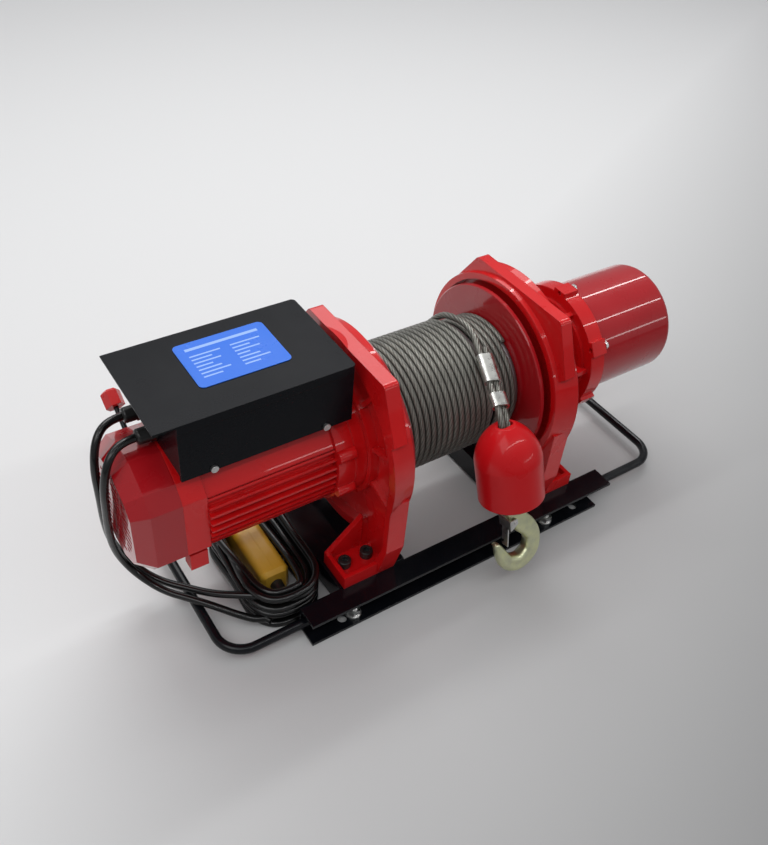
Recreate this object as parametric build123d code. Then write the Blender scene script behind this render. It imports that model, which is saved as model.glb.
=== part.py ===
"""Electric drum winch on a two-rail base, with a control box on its motor and a pendant control.

All sizes are in millimetres. The drum axis runs along X, with the motor at the left (-X)
and the planetary gearbox at the right (+X). +Y is the back, +Z is up, and z = 0 is the
underside of the base. The origin is the centre of the four base holes.
"""
from build123d import *
import math
import os

os.makedirs("parts", exist_ok=True)

# Driving dimensions: base
axis_height = 190.0
rail_half_length = 237.0
rail_outer_y = 145.0
rail_depth = 33.0
rail_height = 38.0
rail_wall = 4.0
rail_notch = 18.0
rail_hole_radius = 6.0
rail_hole_x = 188.0
first_stud_x = -172.0
second_stud_x = 136.0
stud_radius = 5.0
stud_length = 20.0
cross_width = 94.0
cross_lift = 4.0
cross_member_x = (-135.0, 143.0)
bar_radius = 6.0
bar_height = 19.0
bar_insert = 37.0
bar_bend_radius = 34.0
left_bar_reach = 97.0
right_bar_reach = 115.0
weld_gap = 0.3

# Driving dimensions: drum and rope
drum_left_x = -90.0
drum_right_x = 94.0
flange_radius = 115.0
flange_thickness = 6.0
drum_tube_radius = 57.0
drum_tube_wall = 5.0
hub_radius = 24.0
hub_bore_radius = 14.0
drum_wall = 8.0
rope_radius = 4.0
rope_pitch = 8.2
rope_groove = 2.4
winding_radius = 83.8
winding_step = 5.2
winding_step_x = 50.0
tail_gap = 0.8
tail_x = (47.0, 48.5, 50.5, 53.0)
tail_step = 20.0
strand_offset = 4.4
rope_entry = 8.0
rope_depth = 20.0
ferrule_wall = 2.4
ferrule_lengths = (38.0, 18.0)
ferrule_starts = (51.0, 17.0)

# Driving dimensions: brackets
bracket_thickness = 31.0
left_bracket_x = -100.0
right_bracket_x = 106.0
ring_drum_radius = 127.0
ring_outer_radius = 134.0
ring_recess_radius = 118.5
ring_recess_depth = 13.0
web_thickness = 6.0
rim_width = 9.0
bracket_top = 132.0
boss_radius = 84.0
pad_length = 72.0
pad_front_y = 116.0
pad_depth = 48.0
pad_thickness = 12.0
rim_height = 7.0
foot_screw_radius = 5.0
foot_screw_pitch = 31.0
first_screw_inset = 32.5
bearing_outer_radius = 36.0
bearing_width = 14.0
bearing_gap = 0.05

# Driving dimensions: motor
shield_radius = 77.0
front_shield_length = 22.0
seat_gap = 15.0
frame_length = 153.0
frame_core_radius = 67.0
frame_inner_radius = 60.0
fin_tip_radius = 74.0
fin_width = 3.0
fin_step = 8.5
rear_shield_length = 27.0
cowl_length = 52.0
cowl_bevel = 18.0
cowl_end_radius = 63.0
cowl_wall = 2.5
stator_length = 96.0
stator_bore_radius = 34.0
rotor_gap = 0.5
shaft_radius = 10.0
drive_shaft_radius = 6.0

# Driving dimensions: gearbox
gear_module = 1.5
sun_teeth = 15
planet_teeth = 30
ring_teeth = 75
gear_width = 22.0
tooth_height = 1.2
tooth_depth = 1.65
tooth_play = 0.17
planet_count = 3
housing_radius = 76.0
collar_radius = 85.0
collar_length = 23.0
cap_radius = 75.0
cap_wall = 3.0
cap_length = 137.0
gear_pin_radius = 4.0
running_gap = 0.06

# Driving dimensions: control box
box_left_x = -346.0
box_right_x = -149.0
box_half_depth = 66.0
box_rise = 72.0
box_floor_step = 6.0
box_height = 75.0
box_head_room = 9.0
box_eave = 24.0
box_lip = 11.0
sheet = 2.0
plate_x = -303.0
plate_length = 103.0
plate_y = -28.0
plate_depth = 74.0
plate_thickness = 0.8
plate_corner = 6.0

# Driving dimensions: cords, pendant and hanging hook
cord_radius = 4.5
coil_x = -237.0
coil_front_y = -109.0
coil_back_y = 75.0
coil_half_width = 49.0
coil_thickness = 21.0
coil_corner = 39.0
coil_height = 28.0
pendant_x = -239.0
pendant_front_y = -58.0
pendant_length = 104.0
pendant_thickness = 38.0
pendant_height = 46.0
pendant_wall = 2.5
button_radius = 8.0
button_travel = 3.0
weight_radius = 40.5
weight_length = 103.0
weight_cone = 45.0
weight_neck = 12.0
hook_drop = 108.0
hook_thickness = 18.0

# Worked-out places
box_bottom = axis_height + box_rise
box_floor = box_bottom + box_floor_step
box_top = box_bottom + box_height
rail_web_y = rail_outer_y - rail_depth
motor_seat_x = left_bracket_x - bracket_thickness - seat_gap
frame_right_x = motor_seat_x - front_shield_length
frame_left_x = frame_right_x - frame_length
rear_shield_x = frame_left_x - rear_shield_length
cowl_end_x = rear_shield_x - cowl_length
housing_x = right_bracket_x + bracket_thickness
collar_x = housing_x + 69.0
cap_x = collar_x + collar_length
cap_end_x = cap_x + cap_length
centre_distance = gear_module * (sun_teeth + planet_teeth) / 2
ring_gear_radius = gear_module * ring_teeth / 2 + 10.0
sun_turn = 90 + 180 / sun_teeth
second_stage_x = cap_x + 16.0
first_stage_x = second_stage_x + gear_width + 22.0
left_bearing_x = left_bracket_x - ring_recess_depth - bearing_width
right_bearing_x = right_bracket_x + ring_recess_depth
housing_bearing_x = collar_x - 16.0


def block(x0, x1, y0, y1, z0, z1):
    """A box between two corners."""
    centre = Pos((x0 + x1) / 2, (y0 + y1) / 2, (z0 + z1) / 2)
    return centre * Box(x1 - x0, y1 - y0, z1 - z0)


def disc(x0, x1, radius, y=0.0, z=axis_height):
    """A round bar along X between x0 and x1, on the drum axis unless told otherwise."""
    return Pos((x0 + x1) / 2, y, z) * Rot(0, 90, 0) * Cylinder(radius, abs(x1 - x0))


def tube(x0, x1, outer, inner, y=0.0, z=axis_height):
    """A round tube along X."""
    return disc(x0, x1, outer, y, z) - disc(min(x0, x1) - 1, max(x0, x1) + 1, inner, y, z)


def post(x, y, z0, z1, radius):
    """A round bar along Z."""
    return Pos(x, y, (z0 + z1) / 2) * Cylinder(radius, z1 - z0)


def prism(points, x0, x1):
    """A polygon drawn in the YZ plane about the drum axis and pushed along X."""
    outline = Plane.YZ.offset(x0) * Pos(0, axis_height) * Polygon(*points, align=None)
    return extrude(outline, amount=x1 - x0, dir=(1, 0, 0))


def polar(radius, degrees):
    """A point at a radius and an angle, where 0 is the back (+Y) and 90 is up."""
    angle = math.radians(degrees)
    return radius * math.cos(angle), radius * math.sin(angle)


def mirrored(part):
    """The part's mirror image in the YZ plane."""
    return mirror(part, about=Plane.YZ)


def front_rail_solid():
    """Front rail: a channel open to the outside, short at its lower right corner."""
    top = block(-rail_half_length, rail_half_length, -rail_outer_y, -rail_web_y,
                rail_height - rail_wall, rail_height)
    web = block(-rail_half_length, rail_half_length, -rail_web_y - rail_wall, -rail_web_y,
                0, rail_height)
    foot = block(-rail_half_length, rail_half_length - rail_notch, -rail_outer_y, -rail_web_y,
                 0, rail_wall)
    rail = top + web + foot
    edges = rail.edges().filter_by(Axis.X).group_by(Axis.Y)[-1]
    rail = fillet(edges, 3.0)
    hole_y = -rail_outer_y + (rail_depth - rail_wall) / 2
    for x in (-rail_hole_x, rail_hole_x):
        rail -= post(x, hole_y, -1, rail_wall + 1, rail_hole_radius)
    for x in (first_stud_x, second_stud_x):
        rail -= post(x, hole_y, -1, rail_wall + 1, stud_radius)
    return rail


def rail_stud(x, y):
    """A zinc stud with washer and nut, standing in the rail's foot and flush below."""
    stud = post(x, y, 0, rail_wall + stud_length, stud_radius)
    washer = post(x, y, rail_wall, rail_wall + 2, 2 * stud_radius)
    hexagon = extrude(Plane.XY.offset(rail_wall + 2) * Pos(x, y) * RegularPolygon(9.2, 6), amount=8)
    stud = chamfer(stud.faces().sort_by(Axis.Z)[-1].edges(), 1.0)
    return stud + washer + hexagon


def cross_member_solid(x):
    """Cross member: an upside-down channel between the two rails, under a bracket's feet."""
    half = cross_width / 2
    outer = block(x - half, x + half, -rail_web_y, rail_web_y, cross_lift, rail_height)
    inner = block(x - half + rail_wall, x + half - rail_wall, -rail_web_y - 1, rail_web_y + 1,
                  cross_lift - 1, rail_height - rail_wall)
    member = outer - inner
    for screw_x, y in foot_screw_places():
        member -= post(screw_x, y, rail_height - rail_wall - 1, rail_height + 1, foot_screw_radius)
    return member


def handle_bar(end_x, reach):
    """A round bar bent to a U that joins the two rails at one end of the base."""
    side = 1 if end_x > 0 else -1
    bar_y = rail_web_y + rail_wall + bar_radius + weld_gap
    inner_x = end_x - side * bar_insert
    outer_x = end_x + side * reach
    points = [(inner_x, -bar_y, bar_height), (outer_x, -bar_y, bar_height),
              (outer_x, bar_y, bar_height), (inner_x, bar_y, bar_height)]
    path = FilletPolyline(*points, radius=bar_bend_radius)
    start = Plane(origin=path @ 0, z_dir=path % 0)
    return sweep(start * Circle(bar_radius), path=path)


def bracket_casting(block_start, block_end):
    """One cast bracket, drawn with its drum side at x = 0 and its outer side at +x."""
    depth = bracket_thickness
    cone = Pos(depth / 2, 0, axis_height) * Rot(0, 90, 0) * Cone(ring_drum_radius, ring_outer_radius, depth)
    head = prism([(-96, bracket_top), (62, bracket_top), (101, 77), (60, 0), (-60, 0), (-124, 66)],
                 block_start, block_end)
    head = fillet(head.edges().filter_by(Axis.X).group_by(Axis.Z)[-1], 6.0)
    body = cone + head
    floor_z = rail_height - axis_height
    leg_top = -20.0
    leg = [(-ring_outer_radius + 4, leg_top), (-ring_outer_radius + 4, -100.0), (-pad_front_y, floor_z),
           (-pad_front_y + pad_depth, floor_z), (-58, -96.0), (-58, leg_top)]
    for side in (1, -1):
        points = [(side * y, z) for y, z in leg]
        body += prism(points, 6.0, depth)
    body -= disc(-1, ring_recess_depth, ring_recess_radius)
    pocket = disc(ring_recess_depth + web_thickness, depth + 1, ring_outer_radius - rim_width - 3)
    pocket -= disc(ring_recess_depth, depth + 2, boss_radius)
    for side in (1, -1):
        leg_pocket = [(-ring_outer_radius + 4 + rim_width, leg_top), (-ring_outer_radius + 4 + rim_width, -100.0),
                      (-pad_front_y + rim_width, floor_z + pad_thickness),
                      (-pad_front_y + pad_depth - rim_width, floor_z + pad_thickness),
                      (-58 - rim_width, -96.0), (-58 - rim_width, leg_top)]
        pocket += prism([(side * y, z) for y, z in leg_pocket], ring_recess_depth + web_thickness, depth + 1)
    body -= pocket
    for angle in (18, 54, 126, 162, 198, 342):
        y, z = polar((boss_radius + ring_outer_radius) / 2 - 3, angle)
        rib = Box(bracket_thickness - ring_recess_depth - 4, ring_outer_radius - boss_radius - 4, 6.0)
        rib = Pos(ring_recess_depth + (bracket_thickness - ring_recess_depth - 4) / 2, y, axis_height + z) \
            * Rot(angle, 0, 0) * rib
        body += rib
    body += disc(ring_recess_depth, depth, boss_radius)
    body += bracket_foot(1)
    body += bracket_foot(-1)
    for side in (1, -1):
        for step in (0, 1):
            body -= post(first_screw_inset + step * foot_screw_pitch, side * (pad_front_y - pad_depth / 2),
                         rail_height - 1, rail_height + pad_thickness + 1, foot_screw_radius)
    body -= disc(-1, depth + 1, hub_radius + 2.5)
    body -= disc(ring_recess_depth - 1, ring_recess_depth + bearing_width, bearing_outer_radius)
    return body


def bracket_foot(side):
    """The foot pad of a bracket, with its raised rim and slanted gusset."""
    y0 = -pad_front_y
    y1 = y0 + pad_depth
    z0 = rail_height
    z1 = z0 + pad_thickness
    x0 = 6.0
    x1 = x0 + pad_length
    pad = block(x0, x1, y0, y1, z0, z1)
    rim = block(x0, x1, y0, y0 + 6, z0, z1 + rim_height)
    rim += block(x1 - 6, x1, y0, y1, z0, z1 + rim_height)
    gusset_points = [(bracket_thickness - 2, z1), (x1, z1), (x1, z1 + rim_height), (bracket_thickness - 2, z1 + 52)]
    gusset = Plane.XZ.offset(-y1) * Polygon(*gusset_points, align=None)
    gusset = extrude(gusset, amount=7.0, dir=(0, -1, 0))
    foot = pad + rim + gusset
    return foot if side > 0 else mirror(foot, about=Plane.XZ)


def foot_screw(x, y):
    """A socket-head screw that holds a foot pad down on its cross member."""
    seat = rail_height + pad_thickness
    shank = post(x, y, rail_height - rail_wall - 10, seat, foot_screw_radius - 0.05)
    head = post(x, y, seat, seat + 10, 8.0)
    head = chamfer(head.faces().sort_by(Axis.Z)[-1].edges(), 0.8)
    socket = extrude(Plane.XY.offset(seat + 5) * Pos(x, y) * RegularPolygon(4.6, 6), amount=6)
    nut = extrude(Plane.XY.offset(rail_height - rail_wall - 8) * Pos(x, y) * RegularPolygon(9.2, 6), amount=8)
    return shank + head - socket + nut


def foot_screw_places():
    """The places of the eight foot screws."""
    first = first_screw_inset
    for base_x, side in ((left_bracket_x, -1), (right_bracket_x, 1)):
        for step in (0, 1):
            for y in (-pad_front_y + pad_depth / 2, pad_front_y - pad_depth / 2):
                yield base_x + side * (first + step * foot_screw_pitch), y


def drum_tube_solid():
    """The drum's tube with an end wall and a hub at each side."""
    bore = drum_tube_radius - drum_tube_wall
    shell = tube(drum_left_x, drum_right_x, drum_tube_radius, bore)
    left_wall = tube(drum_left_x, drum_left_x + drum_wall, bore, hub_bore_radius)
    right_wall = tube(drum_right_x - drum_wall, drum_right_x, bore, hub_radius)
    left_hub = tube(left_bearing_x - 2, drum_left_x + drum_wall, hub_radius, hub_bore_radius)
    return shell + left_wall + right_wall + left_hub


def output_shaft_solid():
    """The hollow shaft that turns the drum, with the second planet carrier on its end."""
    shaft = tube(drum_right_x - drum_wall, second_stage_x - 9, hub_radius, hub_bore_radius)
    carrier = tube(second_stage_x - 9, second_stage_x - 3, centre_distance + 10, hub_bore_radius)
    body = shaft + carrier
    for index in range(planet_count):
        y, z = polar(centre_distance, 90 + index * 360 / planet_count)
        body += disc(second_stage_x - 3, second_stage_x + gear_width + 3, gear_pin_radius, y, axis_height + z)
    return body


def first_carrier_solid():
    """The first planet carrier with the second sun gear on its neck."""
    bore = drive_shaft_radius + 0.3
    body = tube(first_stage_x - 9, first_stage_x - 3, centre_distance + 10, bore)
    body += tube(second_stage_x + gear_width, first_stage_x - 9, 8.5, bore)
    body += gear_solid(sun_teeth, second_stage_x, bore, sun_turn)
    for index in range(planet_count):
        y, z = polar(centre_distance, 90 + index * 360 / planet_count)
        body += disc(first_stage_x - 3, first_stage_x + gear_width + 3, gear_pin_radius, y, axis_height + z)
    return body


def flange_solid(x0):
    """A drum flange with a chamfered rim, from x0 towards +X."""
    plate = tube(x0, x0 + flange_thickness, flange_radius, drum_tube_radius)
    return chamfer(plate.edges().filter_by(GeomType.CIRCLE).group_by(SortBy.RADIUS)[-1], 1.2)


def turns_solid(x0, x1, radius):
    """Close turns of rope from x0 to x1 as one solid, with a rounded ridge for each turn."""
    count = round((x1 - x0) / rope_pitch)
    pitch = (x1 - x0) / count
    valley = radius - rope_groove
    outline = Polyline((x1, valley), (x1, drum_tube_radius), (x0, drum_tube_radius), (x0, valley))
    edges = list(outline.edges())
    for index in range(count):
        left = x0 + index * pitch
        edges += ThreePointArc((left, valley), (left + pitch / 2, radius), (left + pitch, valley)).edges()
    return Pos(0, 0, axis_height) * revolve(Plane.XZ * make_face(edges), axis=Axis.X)


def winding_solid():
    """The wound rope, one layer lower at its right end."""
    left = turns_solid(drum_left_x, winding_step_x, winding_radius)
    return left + turns_solid(winding_step_x, drum_right_x, winding_radius - winding_step)


def tooth_corners(pitch_radius, middle, half, side):
    """One tooth's corners as radius and angle: its root, pitch and tip on each flank.

    Flanks lean by the usual 20 degrees. side is 1 for a tooth that points outwards, -1 inwards.
    """
    lean = math.tan(math.radians(20)) / pitch_radius
    tip = half - tooth_height * lean
    root = half + tooth_depth * lean * 0.75
    flank = [(pitch_radius - side * tooth_depth, root), (pitch_radius, half),
             (pitch_radius + side * tooth_height, tip)]
    return [(r, middle - a) for r, a in flank] + [(r, middle + a) for r, a in reversed(flank)]


def gear_face(teeth, turn, side=1):
    """The toothed outline of a gear with straight-sided teeth, its first tooth at an angle."""
    pitch_radius = gear_module * teeth / 2
    half = math.pi / (2 * teeth) - tooth_play / pitch_radius
    corners = []
    for index in range(teeth):
        middle = math.radians(turn + 360 * index / teeth)
        corners += tooth_corners(pitch_radius, middle, half, side)
    return [(r * math.cos(a), r * math.sin(a)) for r, a in corners]


def gear_solid(teeth, x0, bore, turn, y=0.0, z=0.0):
    """An outside gear of the gearbox, turned by an angle so that its teeth mesh."""
    gear = Pos(0, y, z) * prism(gear_face(teeth, turn), x0, x0 + gear_width)
    return gear - disc(x0 - 1, x0 + gear_width + 1, bore, y, axis_height + z)


def ring_gear_solid():
    """The fixed ring gear that both stages run in."""
    x0 = second_stage_x - 2
    x1 = first_stage_x + gear_width + 2
    ring_turn = 90 + 180 / ring_teeth
    body = disc(x0, x1, ring_gear_radius) - prism(gear_face(ring_teeth, ring_turn, -1), x0 - 1, x1 + 1)
    flange = tube(cap_x, cap_x + 5, cap_radius - cap_wall, ring_gear_radius - 2)
    link = tube(cap_x + 5, x0 + 1, ring_gear_radius, ring_gear_radius - 6)
    return body + flange + link


def gear_housing_solid():
    """The cast neck and collar between the right bracket and the cap."""
    neck = tube(housing_x, collar_x, housing_radius - 5, hub_radius + 14)
    collar = tube(collar_x, cap_x, collar_radius, hub_radius + 14)
    body = neck + collar
    body -= tube(housing_x + 18, collar_x - 4, housing_radius, housing_radius - 17)
    ring_face = tube(housing_x, housing_x + 12, housing_radius + 6, hub_radius + 14)
    body += ring_face
    for index in range(6):
        angle = 30 + index * 60
        y, z = polar(collar_radius - 4, angle)
        ear = Pos(collar_x + collar_length / 2, y, axis_height + z) * Rot(angle, 0, 0) \
            * Box(collar_length, 17, 20)
        body += ear
        y, z = polar(housing_radius - 8, angle + 22)
        rib = Pos((housing_x + collar_x) / 2, y, axis_height + z) * Rot(angle + 22, 0, 0) \
            * Box(collar_x - housing_x, 20, 6)
        body += rib
    body -= disc(housing_x - 1, cap_x + 1, hub_radius + 13.9)
    body += tube(housing_bearing_x, housing_bearing_x + bearing_width, hub_radius + 16, bearing_outer_radius)
    for index in range(6):
        y, z = polar(collar_radius + 0.5, 30 + index * 60)
        body -= disc(collar_x - 1, cap_x + 1, 3.0, y, axis_height + z)
    return body


def collar_screw(angle, x):
    """A hexagon screw through one of the collar's square bosses."""
    y, z = polar(collar_radius + 0.5, angle)
    shank = disc(x - 18, x, 2.95, y, axis_height + z)
    head = Plane.YZ.offset(x) * Pos(y, axis_height + z) * RegularPolygon(5.5, 6)
    return shank + extrude(head, amount=4.0)


def cap_solid():
    """The drawn cap over the gears, with a rounded end and a bolted flange."""
    outer = disc(cap_x, cap_end_x, cap_radius)
    outer = fillet(outer.edges().filter_by(GeomType.CIRCLE).sort_by(Axis.X)[-1], 10.0)
    inner = disc(cap_x - 1, cap_end_x - cap_wall, cap_radius - cap_wall)
    inner = fillet(inner.edges().filter_by(GeomType.CIRCLE).sort_by(Axis.X)[-1], 10.0 - cap_wall)
    return outer - inner


def cowl_outline(radius):
    """The many-sided outline of the motor's tail, as YZ points about the axis."""
    corners = [30, 48, 77, 103, 132, 150, 210, 228, 257, 283, 312, 330]
    return [polar(radius, angle) for angle in corners]


def tail_prism(radius, x0, x1):
    """A length of the many-sided motor tail."""
    return prism(cowl_outline(radius), x0, x1)


def tail_loft(radius0, x0, radius1, x1):
    """The bevelled end of the motor tail."""
    first = Plane.YZ.offset(x0) * Pos(0, axis_height) * Polygon(*cowl_outline(radius0), align=None)
    second = Plane.YZ.offset(x1) * Pos(0, axis_height) * Polygon(*cowl_outline(radius1), align=None)
    return loft(Sketch() + [first, second], ruled=True)


def motor_frame_solid():
    """The finned motor frame, with a plain saddle on top for the control box."""
    body = disc(frame_left_x, frame_right_x, frame_core_radius)
    count = int((26 + 206) / fin_step) + 1
    for index in range(count):
        angle = 154 + index * fin_step
        y, z = polar((frame_core_radius - 3 + fin_tip_radius) / 2, angle)
        fin = Box(frame_length, fin_tip_radius - frame_core_radius + 3, fin_width)
        body += Pos((frame_left_x + frame_right_x) / 2, y, axis_height + z) * Rot(angle, 0, 0) * fin
    smooth = disc(frame_left_x, frame_right_x, fin_tip_radius - 1)
    smooth &= block(frame_left_x, frame_right_x, -fin_tip_radius, fin_tip_radius, axis_height + 34,
                    axis_height + fin_tip_radius)
    body += smooth
    saddle = block(frame_left_x + 14, frame_right_x - 4, -46, 46, axis_height + 40, box_floor)
    body += saddle
    return body - disc(frame_left_x - 1, frame_right_x + 1, frame_inner_radius)


def front_shield_solid():
    """The motor's front endshield, bolted to the left bracket's boss."""
    x0 = frame_right_x
    x1 = motor_seat_x
    body = disc(x0, x1, shield_radius) - disc(x0 - 1, x1 - 7, frame_inner_radius)
    body += disc(x1 - 20, x1 - 1, 30)
    body -= disc(x1 - 18, x1 - 6, 20 + bearing_gap)
    body -= disc(x0 - 1, x1 + 1, shaft_radius + 2)
    for angle in (160, 20, 200, 340):
        y, z = polar(shield_radius - 1, angle)
        boss = disc(x0, x1, 8, y, axis_height + z)
        body += boss
    seat = tube(motor_seat_x, motor_seat_x + seat_gap, boss_radius - 6, boss_radius - 24)
    return body + seat


def rear_shield_solid():
    """The motor's rear endshield, with the many-sided outline of the tail."""
    x0 = rear_shield_x
    x1 = frame_left_x
    body = tail_prism(shield_radius, x0, x1) - disc(x0 + 7, x1 + 1, frame_inner_radius)
    body += disc(x0 + 1, x0 + 20, 30)
    body -= disc(x0 + 6, x0 + 18, 20 + bearing_gap)
    body -= disc(x0 - 1, x1 + 1, shaft_radius + 2)
    foot = block(x0 + 4, x1 - 2, -60, -44, axis_height - 74, axis_height - 50)
    body += foot - disc(x0, x1 + 1, frame_inner_radius)
    return body


def cowl_solid():
    """The motor's tail cowl with its slotted end face and the slot for the release lever."""
    x0 = cowl_end_x
    x1 = rear_shield_x
    bevel_x = x0 + cowl_bevel
    outer = tail_prism(shield_radius, bevel_x, x1) + tail_loft(cowl_end_radius, x0, shield_radius, bevel_x)
    inner = tail_prism(shield_radius - cowl_wall, bevel_x, x1 + 1)
    inner += tail_loft(cowl_end_radius - cowl_wall, x0 + cowl_wall, shield_radius - cowl_wall, bevel_x)
    body = outer - inner
    for index in range(-5, 6):
        z = index * 8.5
        half = math.sqrt(49.0 ** 2 - z ** 2)
        body -= block(x0 - 1, x0 + cowl_wall + 1, -half, half, axis_height + z - 2.2, axis_height + z + 2.2)
    for z_side in (-1, 1):
        body += block(x0, x0 + cowl_wall, -4, 4, axis_height - 49, axis_height + 49)
        body += block(x0, x0 + cowl_wall, z_side * 26 - 3, z_side * 26 + 3, axis_height - 40, axis_height + 40)
    slot = Pos(lever_x - 3.5, 0, axis_height) * Rot(lever_angle, 0, 0) * Pos(0, shield_radius - 4, 0) \
        * Box(15, 26, 9)
    return body - slot


lever_x = rear_shield_x - 8.0
lever_angle = 31.0
lever_pivot_radius = 54.0
lever_knob_radius = 116.0


def in_lever_frame(part):
    """Turns a part drawn along +Y from the axis to the release lever's direction."""
    return Pos(lever_x, 0, axis_height) * Rot(lever_angle, 0, 0) * part


def brake_coil_solid():
    """The brake's coil housing on the rear endshield, with the lever's two ears."""
    body = tube(rear_shield_x - 16, rear_shield_x, 47, shaft_radius + 5)
    body = chamfer(body.edges().filter_by(GeomType.CIRCLE).group_by(SortBy.RADIUS)[-1], 1.0)
    for side in (-1, 1):
        ear = Pos(0, lever_pivot_radius - 5, side * 7.5) * Box(10, 20, 5)
        ear -= Pos(0, lever_pivot_radius, 0) * Cylinder(2.6, 30)
        body += in_lever_frame(ear)
    return body


def lever_solid():
    """The brake's hand-release lever with its cross pin."""
    rod = Pos(0, (lever_pivot_radius - 4 + lever_knob_radius - 6) / 2, 0) * Rot(90, 0, 0) \
        * Cylinder(3.0, lever_knob_radius - 6 - lever_pivot_radius + 4)
    pin = Pos(0, lever_pivot_radius, 0) * Cylinder(2.5, 22)
    eye = Pos(0, lever_pivot_radius, 0) * Cylinder(4.6, 9)
    return in_lever_frame(rod + pin + eye)


def lever_knob_solid():
    """The faceted red knob on the release lever."""
    sketch = Plane.XZ.offset(-lever_knob_radius - 10) * RegularPolygon(11, 6)
    knob = extrude(sketch, amount=20)
    knob = chamfer(knob.faces().sort_by(Axis.Y)[-1].edges(), 2.5)
    knob -= Pos(0, lever_knob_radius - 8, 0) * Rot(90, 0, 0) * Cylinder(3.0, 4.01)
    return in_lever_frame(knob)


def fan_solid():
    """The motor's cooling fan: a hub, a back plate and straight blades."""
    x0 = cowl_end_x + 6
    x1 = x0 + 16
    body = tube(x0, x1, 17, shaft_radius - 2) + tube(x1 - 3, x1, 52, shaft_radius - 2)
    for index in range(8):
        y, z = polar(34, index * 45)
        blade = Pos(x0 + 7, y, axis_height + z) * Rot(index * 45, 0, 0) * Box(14, 36, 2.5)
        body += blade
    return body


def rotor_solid():
    """The rotor's core with a short-circuit ring at each end."""
    middle = (frame_left_x + frame_right_x) / 2
    radius = stator_bore_radius - rotor_gap
    body = tube(middle - stator_length / 2, middle + stator_length / 2, radius, shaft_radius)
    for side in (-1, 1):
        body += tube(middle + side * stator_length / 2, middle + side * (stator_length / 2 + 7),
                     radius - 4, radius - 14)
    return body


def motor_shaft_solid():
    """The motor's shaft, thinner at its tail where the fan sits."""
    main = disc(rear_shield_x - 26, -88, shaft_radius)
    tail = disc(cowl_end_x + 5, rear_shield_x - 26, shaft_radius - 2)
    return main + tail


def drive_shaft_solid():
    """The thin shaft through the drum to the first sun gear."""
    shaft = disc(-84, first_stage_x + gear_width + 6, drive_shaft_radius)
    return shaft + gear_solid(sun_teeth, first_stage_x, drive_shaft_radius - 1, sun_turn)


def coupling_solid():
    """The sleeve inside the drum that joins the motor's shaft to the drive shaft."""
    body = disc(-112, -52, 13.0)
    body -= disc(-113, -88, shaft_radius)
    body -= disc(-84, -51, 6.0)
    body -= disc(-89, -83, 6.0)
    return body


def bearing_solid(x0, outer, inner, width):
    """A ball bearing drawn as its two rings and one closed ball space."""
    body = tube(x0, x0 + width, outer, inner)
    third = (outer - inner) / 3
    for x in (x0 - 0.01, x0 + width - 0.99):
        body -= tube(x, x + 1.0, outer - third, inner + third)
    return body


def stator_solid():
    """The stator's stack of plates, pressed in the frame."""
    middle = (frame_left_x + frame_right_x) / 2
    return tube(middle - stator_length / 2, middle + stator_length / 2, frame_inner_radius, stator_bore_radius)


def windings_solid():
    """The two end turns of the stator's windings."""
    middle = (frame_left_x + frame_right_x) / 2
    parts = []
    for side in (-1, 1):
        ring = tube(middle + side * stator_length / 2, middle + side * (stator_length / 2 + 20),
                    frame_inner_radius - 5, stator_bore_radius + 4)
        parts.append(fillet(ring.edges().filter_by(GeomType.CIRCLE), 3.0))
    return Compound(children=parts)


def box_cover_solid():
    """The control box's folded cover: top with an eave at the left, front and back walls."""
    top = block(box_left_x - box_eave, box_right_x + 1.5, -box_half_depth - 1.5, box_half_depth + 1.5,
                box_top - sheet, box_top)
    body = fillet(top.edges().filter_by(Axis.Z).group_by(Axis.X)[-1], 5.0)
    for side in (-1, 1):
        lip_y = sorted((side * box_half_depth, side * (box_half_depth + 1.5)))
        wall_y = sorted((side * (box_half_depth - sheet), side * box_half_depth))
        body += block(box_left_x, box_right_x - 3, lip_y[0], lip_y[1], box_top - box_lip, box_top - sheet)
        body += block(box_left_x, box_right_x, wall_y[0], wall_y[1], box_bottom, box_top - sheet)
        for x in cover_screw_x:
            hole = Pos(x, side * box_half_depth, cover_screw_z) * Rot(90, 0, 0) * Cylinder(2.0, 12)
            body -= hole
    return body


cover_screw_x = (box_left_x + 35.0, box_right_x - 32.0)
cover_screw_z = box_bottom + 3.4


def box_base_solid():
    """The control box's base: floor, two end walls and the flanges that the cover is screwed to."""
    inside = box_half_depth - sheet
    body = block(box_left_x, box_right_x, -inside, inside, box_floor, box_floor + sheet)
    for side in (-1, 1):
        y = sorted((side * (inside - sheet), side * inside))
        body += block(box_left_x, box_right_x, y[0], y[1], box_bottom, box_floor + sheet)
        for x in cover_screw_x:
            body -= Pos(x, side * inside, cover_screw_z) * Rot(90, 0, 0) * Cylinder(2.0, 12)
    for x in (box_left_x, box_right_x - sheet):
        body += block(x, x + sheet, -inside, inside, box_floor, box_top - sheet)
    for y in gland_y:
        body -= disc(box_left_x - 1, box_left_x + sheet + 1, 6.0, y, gland_z)
    return body


gland_y = (36.0, -1.0)
gland_z = box_floor + sheet + 8.5


def cover_screw(x, side):
    """A zinc pan-head screw in the cover's lower edge."""
    y = side * box_half_depth
    shank = Pos(x, y - side * 4.5, cover_screw_z) * Rot(90, 0, 0) * Cylinder(1.95, 9)
    head = Pos(x, y + side * 1.4, cover_screw_z) * Rot(90, 0, 0) * Cylinder(4.2, 2.8)
    return shank + head


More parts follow.
